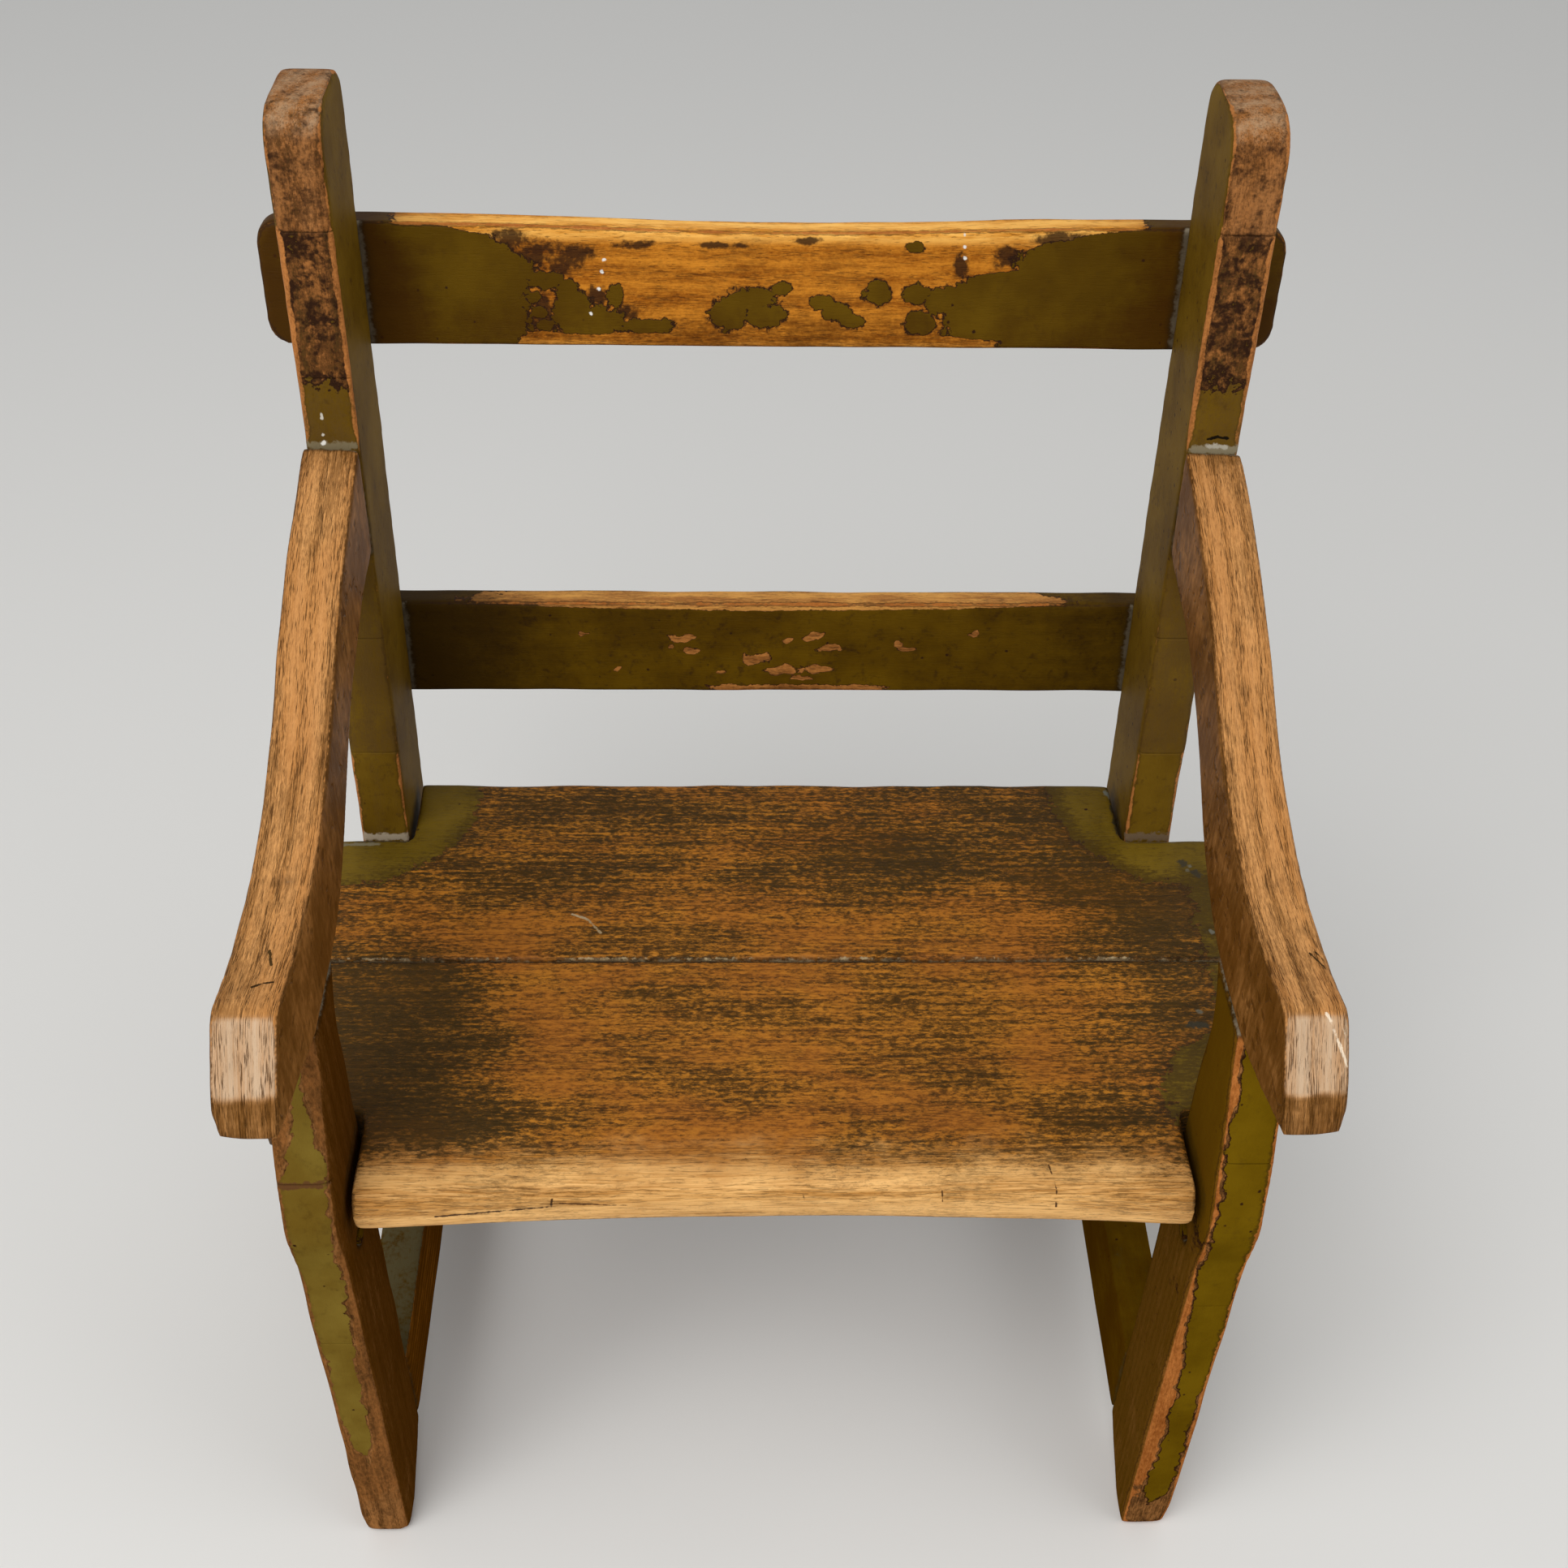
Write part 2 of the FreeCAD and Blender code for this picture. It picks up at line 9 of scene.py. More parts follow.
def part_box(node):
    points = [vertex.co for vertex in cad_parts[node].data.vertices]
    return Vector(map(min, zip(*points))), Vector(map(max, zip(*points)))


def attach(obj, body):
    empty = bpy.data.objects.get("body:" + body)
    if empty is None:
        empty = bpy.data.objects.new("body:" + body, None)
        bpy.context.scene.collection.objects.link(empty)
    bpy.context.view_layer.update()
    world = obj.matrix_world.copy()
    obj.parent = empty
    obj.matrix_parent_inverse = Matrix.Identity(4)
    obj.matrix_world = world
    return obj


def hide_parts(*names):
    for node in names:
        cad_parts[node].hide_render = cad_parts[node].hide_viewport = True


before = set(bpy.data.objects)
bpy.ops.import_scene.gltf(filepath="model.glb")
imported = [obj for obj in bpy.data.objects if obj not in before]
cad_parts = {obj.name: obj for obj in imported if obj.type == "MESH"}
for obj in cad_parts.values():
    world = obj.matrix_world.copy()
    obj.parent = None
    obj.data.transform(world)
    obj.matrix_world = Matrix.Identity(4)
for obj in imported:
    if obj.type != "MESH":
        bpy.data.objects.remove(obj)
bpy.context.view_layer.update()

scene = bpy.context.scene
scene.view_settings.view_transform = "Standard"
print("frame loaded:", len(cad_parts), "nodes")


# camera, where the photograph was taken from
photoCamera = {
    "place": (-0.01751, -0.53093, 0.81621),
    "pitch": 42.155,      # degrees below the horizon
    "yaw": 2.223,         # degrees to the right of straight ahead
    "roll": 1.550,
    "focal": 2360.2,      # in pixels of the square frame
    "frame": 1932.0,
    "sensor": 36.0,       # millimetres
}


def makeCamera(look):
    pitch, yaw, roll = (math.radians(look[k]) for k in ("pitch", "yaw", "roll"))
    ahead = Vector((math.sin(yaw) * math.cos(pitch), math.cos(yaw) * math.cos(pitch), -math.sin(pitch)))
    side = Vector((math.cos(yaw), -math.sin(yaw), 0.0))
    top = side.cross(ahead)
    right = math.cos(roll) * side + math.sin(roll) * top
    up = math.cos(roll) * top - math.sin(roll) * side
    lens = bpy.data.cameras.new("photoCamera")
    lens.sensor_width = look["sensor"]
    lens.lens = look["focal"] / look["frame"] * look["sensor"]
    lens.clip_start = 0.01
    eye = bpy.data.objects.new("photoCamera", lens)
    eye.matrix_world = Matrix((
        (right.x, up.x, -ahead.x, look["place"][0]),
        (right.y, up.y, -ahead.y, look["place"][1]),
        (right.z, up.z, -ahead.z, look["place"][2]),
        (0.0, 0.0, 0.0, 1.0)))
    scene.collection.objects.link(eye)
    scene.camera = eye


makeCamera(photoCamera)
print("camera placed")


# node helpers, used by every finish below
def tint(red, green, blue):
    parts = [v / 255.0 for v in (red, green, blue)]
    return tuple(v / 12.92 if v <= 0.04045 else ((v + 0.055) / 1.055) ** 2.4 for v in parts) + (1.0,)


def addNode(tree, kind, sockets=None, **settings):
    made = tree.nodes.new("ShaderNode" + kind)
    for key, value in settings.items():
        setattr(made, key, value)
    for key, value in (sockets or {}).items():
        if isinstance(value, bpy.types.NodeSocket):
            tree.links.new(value, made.inputs[key])
        else:
            made.inputs[key].default_value = value
    return made


def calc(tree, operation, *terms, clamp=False):
    return addNode(tree, "Math", dict(enumerate(terms)), operation=operation, use_clamp=clamp).outputs[0]


def times(tree, first, second):
    return calc(tree, "MULTIPLY", first, second)


def addShare(tree, value, extra, share, clamp=False):        # value + extra * share
    return calc(tree, "ADD", value, times(tree, extra, share), clamp=clamp)


def centred(tree, value):        # a noise that swings round zero
    return calc(tree, "SUBTRACT", value, 0.5)


def inverse(tree, value):
    return calc(tree, "SUBTRACT", 1.0, value)


def vectorCalc(tree, operation, *terms, gives=0):
    return addNode(tree, "VectorMath", dict(enumerate(terms)), operation=operation).outputs[gives]


def ease(tree, value, low, high, start=0.0, end=1.0):
    return addNode(tree, "MapRange", {0: value, 1: low, 2: high, 3: start, 4: end},
                   interpolation_type="SMOOTHSTEP").outputs[0]


def blendTint(tree, share, first, second):
    return addNode(tree, "Mix", {0: share, 6: first, 7: second}, data_type="RGBA").outputs[2]


def blendValue(tree, share, first, second):
    return addNode(tree, "Mix", {0: share, 2: first, 3: second}, data_type="FLOAT").outputs[0]


def mottle(tree, vector, scale, detail=3.0, roughness=0.55, distortion=0.0):
    return addNode(tree, "TexNoise", {"Vector": vector, "Scale": scale, "Detail": detail,
                                      "Roughness": roughness, "Distortion": distortion}).outputs[0]


def stretch(tree, vector, along, across):
    return vectorCalc(tree, "MULTIPLY", vector, (along, across, across))


def fibres(tree, vector, along, across, detail, roughness=0.55):        # noise drawn out along the grain
    return mottle(tree, stretch(tree, vector, along, across), 1.0, detail, roughness)


def newGroup(name, takes, gives):
    tree = bpy.data.node_groups.new(name, "ShaderNodeTree")
    for label in takes:
        kind = "NodeSocketVector" if label in ("Vector", "Start", "End") else "NodeSocketFloat"
        tree.interface.new_socket(name=label, in_out="INPUT", socket_type=kind)
    for label in gives:
        tree.interface.new_socket(name=label, in_out="OUTPUT", socket_type="NodeSocketFloat")
    return tree, tree.nodes.new("NodeGroupInput").outputs, tree.nodes.new("NodeGroupOutput").inputs


def useGroup(tree, group, sockets):
    return addNode(tree, "Group", sockets, node_tree=group).outputs


def newFinish(name):
    finish = bpy.data.materials.new(name)
    finish.use_nodes = True
    return finish, finish.node_tree, finish.node_tree.nodes["Principled BSDF"]


# oak with its rings, fibres, open pores and dirt-filled streaks, length along X
def makeOakGrain():
    tree, take, give = newGroup("oakGrain", ["Vector", "Ring", "Dash"],
                                ["Tone", "Long", "Streaks", "Pores", "Fibre", "Patch"])
    bend = addNode(tree, "TexNoise", {"Vector": stretch(tree, take["Vector"], 4.0, 14.0), "Scale": 1.0,
                                      "Detail": 2.0}).outputs["Color"]
    bend = vectorCalc(tree, "SUBTRACT", bend, (0.5, 0.5, 0.5))
    bend = vectorCalc(tree, "MULTIPLY", bend, (0.0, 0.006, 0.006))
    bent = vectorCalc(tree, "ADD", take["Vector"], bend)
    ring = addNode(tree, "TexWave", {"Vector": bent, "Scale": take["Ring"], "Distortion": 2.0, "Detail": 3.0,
                                     "Detail Scale": 0.8},
                   wave_type="RINGS", rings_direction="X").outputs["Fac"]
    band = fibres(tree, bent, 14.0, 260.0, 4.0, 0.62)
    fine = fibres(tree, bent, 70.0, 1500.0, 3.0, 0.6)
    dash = fibres(tree, bent, 330.0, 820.0, 3.0, 0.70)
    line = fibres(tree, bent, 26.0, 560.0, 2.0, 0.5)
    tone = addShare(tree, times(tree, band, 0.50), fine, 0.38)
    tone = addShare(tree, tone, ring, 0.12)
    tree.links.new(ease(tree, tone, 0.34, 0.67), give["Long"])
    short = addShare(tree, times(tree, dash, 0.92), line, 0.35)
    short = calc(tree, "SUBTRACT", short, 0.135)
    tree.links.new(ease(tree, blendValue(tree, take["Dash"], tone, short), 0.34, 0.67), give["Tone"])
    patch = fibres(tree, take["Vector"], 13.0, 30.0, 4.0, 0.6)
    tree.links.new(patch, give["Patch"])
    dirt = addShare(tree, fibres(tree, bent, 95.0, 760.0, 4.0, 0.66), centred(tree, band), 0.35)
    speck = addShare(tree, fibres(tree, bent, 300.0, 720.0, 4.0, 0.75), centred(tree, line), 0.30)
    dirt = blendValue(tree, take["Dash"], dirt, speck)
    dirt = addShare(tree, dirt, centred(tree, patch), 0.75)
    tree.links.new(ease(tree, dirt, 0.49, 0.64), give["Streaks"])
    pore = addShare(tree, fibres(tree, bent, 130.0, 1900.0, 2.0), centred(tree, ring), 0.10)
    tree.links.new(ease(tree, pore, 0.57, 0.68), give["Pores"])
    tree.links.new(fine, give["Fibre"])
    return tree


# bare wood along the arrises, from the piece's own edge attribute
def makeArrisWear():
    tree, take, give = newGroup("arrisWear", ["Edge", "Vector", "Amount", "Ragged"], ["Bare", "Line"])
    broad = centred(tree, mottle(tree, take["Vector"], 70.0, 5.0, 0.62))
    small = centred(tree, mottle(tree, take["Vector"], 520.0, 2.0))
    rough = addShare(tree, broad, small, 0.5)
    value = addShare(tree, take["Edge"], rough, take["Ragged"])
    value = calc(tree, "ADD", value, take["Amount"])
    tree.links.new(ease(tree, value, 0.92, 1.08), give["Bare"])
    rim = times(tree, ease(tree, value, 0.70, 0.90), ease(tree, value, 0.94, 1.04, 1.0, 0.0))
    tree.links.new(rim, give["Line"])
    return tree


# old paint that has flaked off in islands, with a dark rim where it ends
def makeFlakedPaint():
    tree, take, give = newGroup("flakedPaint", ["Field", "Vector", "Ragged"],
                                ["Paint", "Rim", "Specks", "Shade", "Rough"])
    broad = centred(tree, mottle(tree, take["Vector"], 130.0, 4.0, 0.6, 0.6))
    small = centred(tree, mottle(tree, take["Vector"], 480.0, 3.0, 0.6))
    rough = addShare(tree, broad, small, 0.6)
    tree.links.new(rough, give["Rough"])
    value = addShare(tree, take["Field"], rough, take["Ragged"])
    tree.links.new(ease(tree, value, -0.03, 0.03), give["Paint"])
    rim = times(tree, ease(tree, value, -0.26, -0.05), ease(tree, value, 0.0, 0.10, 1.0, 0.0))
    tree.links.new(rim, give["Rim"])
    cell = addNode(tree, "TexVoronoi", {"Vector": take["Vector"], "Scale": 190.0})
    dots = ease(tree, addShare(tree, cell.outputs["Distance"], small, 0.35), 0.05, 0.16, 1.0, 0.0)
    pick = ease(tree, addNode(tree, "SeparateColor", {0: cell.outputs["Color"]}).outputs[0], 0.80, 0.84)
    tree.links.new(times(tree, dots, pick), give["Specks"])
    tree.links.new(mottle(tree, take["Vector"], 26.0, 4.0, 0.6), give["Shade"])
    return tree


# darker close to other parts and in hollows, and pale dust on what faces up there
def makeCreviceDarkAndDust():
    tree, take, give = newGroup("settledDirt", ["Crevice", "Vector"], ["Grime", "Dust"])
    broad = centred(tree, mottle(tree, take["Vector"], 90.0, 4.0, 0.6))
    small = centred(tree, mottle(tree, take["Vector"], 480.0, 4.0, 0.65))
    grime = addShare(tree, take["Crevice"], broad, 0.7)
    tree.links.new(ease(tree, grime, 0.30, 0.90), give["Grime"])
    dust = addShare(tree, take["Crevice"], calc(tree, "ADD", small, broad), 0.8)
    facing = addNode(tree, "SeparateXYZ", {0: addNode(tree, "NewGeometry").outputs["Normal"]}).outputs[2]
    dust = times(tree, ease(tree, dust, 0.62, 1.0), ease(tree, facing, -0.4, 0.8))
    tree.links.new(dust, give["Dust"])
    return tree


# a thin line from one place to another, or a dot, for scratches, cracks and white dots
def makeThinMark():
    tree, take, give = newGroup("thinMark", ["Vector", "Start", "End", "Width"], ["Mask"])
    run = vectorCalc(tree, "SUBTRACT", take["End"], take["Start"])
    away = vectorCalc(tree, "SUBTRACT", take["Vector"], take["Start"])
    reach = vectorCalc(tree, "DOT_PRODUCT", run, run, gives="Value")
    share = vectorCalc(tree, "DOT_PRODUCT", away, run, gives="Value")
    share = calc(tree, "DIVIDE", share, calc(tree, "MAXIMUM", reach, 1e-9), clamp=True)
    foot = addNode(tree, "VectorMath", {0: run, "Scale": share}, operation="SCALE").outputs[0]
    off = vectorCalc(tree, "LENGTH", vectorCalc(tree, "SUBTRACT", away, foot), gives="Value")
    wobble = centred(tree, mottle(tree, take["Vector"], 420.0, 3.0, 0.6))
    off = addShare(tree, off, times(tree, wobble, take["Width"]), 2.2)
    half = times(tree, take["Width"], 0.45)
    tree.links.new(ease(tree, off, half, take["Width"], 1.0, 0.0), give["Mask"])
    return tree


oakGrain = makeOakGrain()
arrisWear = makeArrisWear()
flakedPaint = makeFlakedPaint()
settledDirt = makeCreviceDarkAndDust()
thinMark = makeThinMark()

alongX = (0.0, 0.0, 0.0)        # which way the grain runs
alongY = (0.0, 0.0, math.radians(90.0))
alongZ = (0.0, math.radians(90.0), 0.0)
wearLayers = ("edge", "crevice", "paint", "polish", "soil", "stain")


def woodFinish(name, look):
    finish, tree, shader = newFinish(name)
    shader.inputs["Specular IOR Level"].default_value = look["shine"]
    coords = addNode(tree, "TexCoord").outputs["Object"]
    grainVector = addNode(tree, "Mapping", {"Vector": coords, "Rotation": look["turn"],
                                            "Location": look["shift"], "Scale": look["pull"]}).outputs[0]
    seen = {k: addNode(tree, "Attribute", attribute_name=k).outputs["Fac"] for k in wearLayers}
    grain = useGroup(tree, oakGrain, {"Vector": grainVector, "Ring": look["ring"], "Dash": look["dash"]})
    arris = useGroup(tree, arrisWear, {"Edge": seen["edge"], "Vector": coords, "Amount": look["arris"],
                                       "Ragged": look["arrisRagged"]})
    coat = useGroup(tree, flakedPaint, {"Field": seen["paint"], "Vector": coords, "Ragged": look["ragged"]})
    dirt = useGroup(tree, settledDirt, {"Crevice": seen["crevice"], "Vector": coords})

    # bare wood
    tone = addShare(tree, grain["Tone"], centred(tree, coat["Shade"]), look["blotch"], clamp=True)
    wood = blendTint(tree, tone, look["light"], look["dark"])
    wood = blendTint(tree, ease(tree, grain["Patch"], 0.60, 0.38, 0.0, look["warm"]), wood, look["warmTint"])
    # pale rubbed wood, which on the arm noses, post crowns, seat nosing and the top rail's top band is partly a
    # painted highlight
    pale = blendTint(tree, grain["Long"], look["pale"], look.get("paleDark", look["light"]))
    wood = blendTint(tree, seen["polish"], wood, pale)
    rubbed = inverse(tree, times(tree, seen["polish"], 0.7))
    streaks = times(tree, times(tree, grain["Streaks"], look["streaks"]), rubbed)
    wood = blendTint(tree, streaks, wood, look["streakTint"])
    wood = blendTint(tree, times(tree, grain["Pores"], look["pores"]), wood, look["poreTint"])
    stain = addShare(tree, seen["stain"], coat["Rough"], 1.5)
    stain = times(tree, ease(tree, stain, 0.22, 0.72), ease(tree, seen["stain"], 0.02, 0.3))
    wood = blendTint(tree, times(tree, stain, 0.9), wood, look["rimTint"])
    soil = addShare(tree, seen["soil"], centred(tree, coat["Shade"]), 0.8)
    soil = addShare(tree, soil, coat["Rough"], 0.35)
    soil = addShare(tree, soil, centred(tree, grain["Tone"]), look["soilGrain"])
    soil = times(tree, ease(tree, soil, 0.10, 0.95), look["soil"])
    wood = blendTint(tree, soil, wood, look["soilTint"])

    # paint over it, then bare arrises, darkening close to other parts, and dust
    olive = blendTint(tree, ease(tree, coat["Shade"], 0.3, 0.7), look["paint"], look["paintShade"])
    olive = blendTint(tree, coat["Specks"], olive, look["rimTint"])
    spots = ease(tree, coat["Rough"], 0.04, 0.30, 0.0, look["mottled"])
    olive = blendTint(tree, spots, olive, look["rimTint"])
    olive = blendTint(tree, times(tree, soil, 0.85), olive, look["soilTint"])
    skin = blendTint(tree, times(tree, coat["Rim"], look["rim"]), wood, look["rimTint"])
    skin = blendTint(tree, coat["Paint"], skin, olive)
    skin = blendTint(tree, times(tree, arris["Line"], look["arrisLine"]), skin, look["rimTint"])
    edgeWood = blendTint(tree, tone, look["edgeLight"], look["edgeDark"])
    skin = blendTint(tree, times(tree, arris["Bare"], inverse(tree, soil)), skin, edgeWood)
    # darker close to other parts and in hollows
    skin = blendTint(tree, times(tree, dirt["Grime"], look["grime"]), skin, look["grimeTint"])
    dust = times(tree, dirt["Dust"], look["dust"])
    skin = blendTint(tree, dust, skin, look["dustTint"])
    for start, end, width, colour in look["marks"]:
        ends = {"Vector": coords, "Start": start, "End": end, "Width": width}
        skin = blendTint(tree, useGroup(tree, thinMark, ends)["Mask"], skin, tint(*colour))
    tree.links.new(skin, shader.inputs["Base Color"])

    # gloss and relief
    gloss = blendValue(tree, coat["Paint"], look["woodRough"], look["paintRough"])
    gloss = addShare(tree, gloss, grain["Fibre"], 0.16)
    gloss = blendValue(tree, dust, gloss, 0.85)
    tree.links.new(gloss, shader.inputs["Roughness"])
    bare = inverse(tree, times(tree, coat["Paint"], 0.8))
    relief = times(tree, addShare(tree, grain["Pores"], streaks, 0.5), bare)
    relief = addShare(tree, times(tree, relief, -0.8), grain["Fibre"], 0.35)
    relief = addShare(tree, relief, coat["Paint"], 0.45)
    bump = addNode(tree, "Bump", {"Height": relief, "Strength": look["bump"], "Distance": 0.0006})
    tree.links.new(bump.outputs[0], shader.inputs["Normal"])
    return finish


# the looks that the pieces start from
oldOak = {
    "turn": alongX, "shift": (0.0, 0.0, 0.0), "pull": (1.0, 1.0, 1.0), "ring": 60.0, "dash": 0.0, "marks": (),
    "light": tint(190, 118, 40), "dark": tint(128, 74, 20), "pale": tint(226, 170, 100), "blotch": 0.8,
    "streaks": 0.6, "streakTint": tint(56, 34, 12), "pores": 0.6, "poreTint": tint(54, 32, 12),
    "soil": 0.9, "soilTint": tint(46, 30, 8), "soilGrain": 0.2, "warm": 0.0, "warmTint": tint(150, 86, 34),
    "paint": tint(100, 73, 6), "paintShade": tint(82, 57, 3), "ragged": 1.0, "rim": 1.0, "mottled": 0.15,
    "rimTint": tint(46, 26, 14), "arris": 0.30, "arrisRagged": 0.8, "arrisLine": 0.6,
    "edgeLight": tint(190, 118, 54), "edgeDark": tint(146, 82, 30),
    "grime": 0.8, "grimeTint": tint(36, 24, 8), "dust": 0.7, "dustTint": tint(146, 134, 112),
    "woodRough": 0.42, "paintRough": 0.40, "bump": 0.5, "shine": 0.14,
}


# worn copies of the sawn pieces
wear = {
    "weld": 1e-6, "bluntTurns": 14, "bluntestTurns": 26, "edgeShare": 1.35,
    "rubScale": 38.0, "dipScale": 17.0, "nearby": 0.02, "dirtReach": 0.0035,
    "grooveFront": -0.35, "grooveGrime": 0.6, "grooveFull": 0.0010,
}


def easeRange(values, low, high):
    share = np.clip((values - low) / (high - low), 0.0, 1.0)
    return share * share * (3.0 - 2.0 * share)


def below(values, level, fade):
    return easeRange(level - values, 0.0, fade)


def spot(u, v, centre, radius):
    return 1.0 - np.hypot((u - centre[0]) / radius[0], (v - centre[1]) / radius[1])


def alongTable(values, table):
    return np.interp(values, *zip(*table))


def noiseOf(points, scale, seed):
    push = Vector((seed * 3.7, seed * 1.9, seed * 5.3))
    return np.array([noise.noise(Vector(p) * scale + push) for p in points])


def places(bm):
    return np.array([v.co for v in bm.verts])


def smoothed(bm, turns):
    for turn in range(turns):
        bmesh.ops.smooth_vert(bm, verts=bm.verts, factor=0.5, use_axis_x=True, use_axis_y=True, use_axis_z=True)
    return places(bm)


def nearTree(node, reach):
    low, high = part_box(node)
    corners, faces = [], []
    for other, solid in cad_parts.items():
        otherLow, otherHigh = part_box(other)
        apart = any(otherLow[i] > high[i] + reach or otherHigh[i] < low[i] - reach for i in range(3))
        if other == node or apart:
            continue
        start = len(corners)
        corners += [v.co.copy() for v in solid.data.vertices]
        faces += [[start + i for i in p.vertices] for p in solid.data.polygons]
    return BVHTree.FromPolygons(corners, faces)


def addPlug(bm, node, hand, above, swell):
    plug = bmesh.new()        # the end of a tenon or a wedge, a little larger so that it closes its hole
    plug.from_mesh(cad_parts[node].data)
    bmesh.ops.delete(plug, geom=[v for v in plug.verts if v.co.x * hand < 0.0], context="VERTS")
    bmesh.ops.remove_doubles(plug, verts=plug.verts, dist=wear["weld"])
    cutAt = bmesh.ops.bisect_plane(plug, geom=plug.verts[:] + plug.edges[:] + plug.faces[:], dist=wear["weld"],
                                   plane_co=(0.0, 0.0, above), plane_no=(0.0, 0.0, 1.0), clear_inner=True)
    rims = [e for e in cutAt["geom_cut"] if isinstance(e, bmesh.types.BMEdge)]
    bmesh.ops.holes_fill(plug, edges=rims or plug.edges[:])
    middle = sum((v.co for v in plug.verts), Vector()) / len(plug.verts)
    for vert in plug.verts:
        side = vert.co - middle
        vert.co += Vector((math.copysign(swell, side.x), math.copysign(swell, side.y), 0.0))
    spare = bpy.data.meshes.new("plug")
    plug.to_mesh(spare)
    plug.free()
    bm.from_mesh(spare)
    bpy.data.meshes.remove(spare)


def solidCopy(node, cut):
    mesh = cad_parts[node].data.copy()
    piece = bpy.data.objects.new(node + "_worn", mesh)
    scene.collection.objects.link(piece)
    bm = bmesh.new()
    bm.from_mesh(mesh)
    bmesh.ops.remove_doubles(bm, verts=bm.verts, dist=wear["weld"])
    for plug in cut.get("plugs", ()):
        addPlug(bm, plug, cut["hand"], cut["plugAbove"], cut["plugSwell"])
    bm.to_mesh(mesh)
    bm.free()
    shell = piece.modifiers.new("shell", "REMESH")
    shell.mode = "VOXEL"
    shell.voxel_size = cut["voxel"]
    piece.data = bpy.data.meshes.new_from_object(piece.evaluated_get(bpy.context.evaluated_depsgraph_get()))
    piece.modifiers.clear()
    piece.data.name = node + "_worn"
    return piece


def scribe(bm, lines):        # lines cut across the front, as height, half width and depth
    groove = bm.verts.layers.float["crevice"]
    for height, width, depth in lines:
        for step in (-width, 0.0, width):
            bmesh.ops.bisect_plane(bm, geom=bm.verts[:] + bm.edges[:] + bm.faces[:], dist=1e-7,
                                   plane_co=(0.0, 0.0, height + step), plane_no=(0.0, 0.0, 1.0))
        bm.normal_update()
        for vert in bm.verts:
            if abs(vert.co.z - height) < 2e-5 and vert.normal.y < wear["grooveFront"]:
                vert.co -= vert.normal * depth
                vert[groove] = max(vert[groove], min(wear["grooveGrime"], depth / wear["grooveFull"]))


def wornPiece(node, cut, finish, fields):
    piece = solidCopy(node, cut)
    bm = bmesh.new()
    bm.from_mesh(piece.data)
    crisp = smoothed(bm, cut["soften"])
    bm.normal_update()
    facing = np.array([v.normal for v in bm.verts])
    blunt = smoothed(bm, wear["bluntTurns"])
    bluntest = smoothed(bm, wear["bluntestTurns"])
    bulge = ((crisp - bluntest) * facing).sum(axis=1) / (wear["edgeShare"] * cut["voxel"])
    edge = np.clip(bulge, 0.0, 1.0)
    hollow = np.clip(-bulge, 0.0, 1.0)

    # arrises rub off more here and less there, faces dip a little
    rub = np.clip(0.45 + 1.1 * noiseOf(crisp, wear["rubScale"], cut["seed"]), 0.0, 1.0) * cut["rub"]
    made = crisp + (blunt - crisp) * (np.clip(edge * 1.4, 0.0, 1.0) * rub)[:, None]
    if "rounded" in cut:
        made += (bluntest - made) * cut["rounded"](crisp)[:, None]
    dip = 0.5 + 0.5 * noiseOf(crisp, wear["dipScale"], cut["seed"] + 1)
    made -= facing * (dip * cut["dip"])[:, None]
    made = cut["shape"](made) if "shape" in cut else made
    low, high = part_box(node)
    made = np.clip(made, np.array(low), np.array(high))
    for vert, place in zip(bm.verts, made):
        vert.co = place

    # how near the neighbours are, for darkening close to them and for dust
    others = nearTree(node, wear["nearby"])
    near = [others.find_nearest(Vector(p), wear["nearby"])[3] for p in made]
    gap = np.array([wear["nearby"] if d is None else d for d in near])
    crevice = np.maximum(np.exp(-gap / cut.get("dirtReach", wear["dirtReach"])), 0.6 * hollow)
    marks = {key: np.zeros(len(made)) for key in wearLayers}
    marks.update(edge=edge, crevice=crevice)
    marks.update(fields(made, facing, marks))
    for key, values in marks.items():
        layer = bm.verts.layers.float.new(key)
        for vert, value in zip(bm.verts, values):
            vert[layer] = float(value)

    scribe(bm, cut.get("scribed", ()))
    for face in bm.faces:
        face.smooth = True
    bm.to_mesh(piece.data)
    bm.free()
    piece.data.materials.clear()
    piece.data.materials.append(finish)
    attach(piece, "root")
    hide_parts(node, *cut.get("covers", ()))
    print("worn", node, len(piece.data.polygons), "faces")


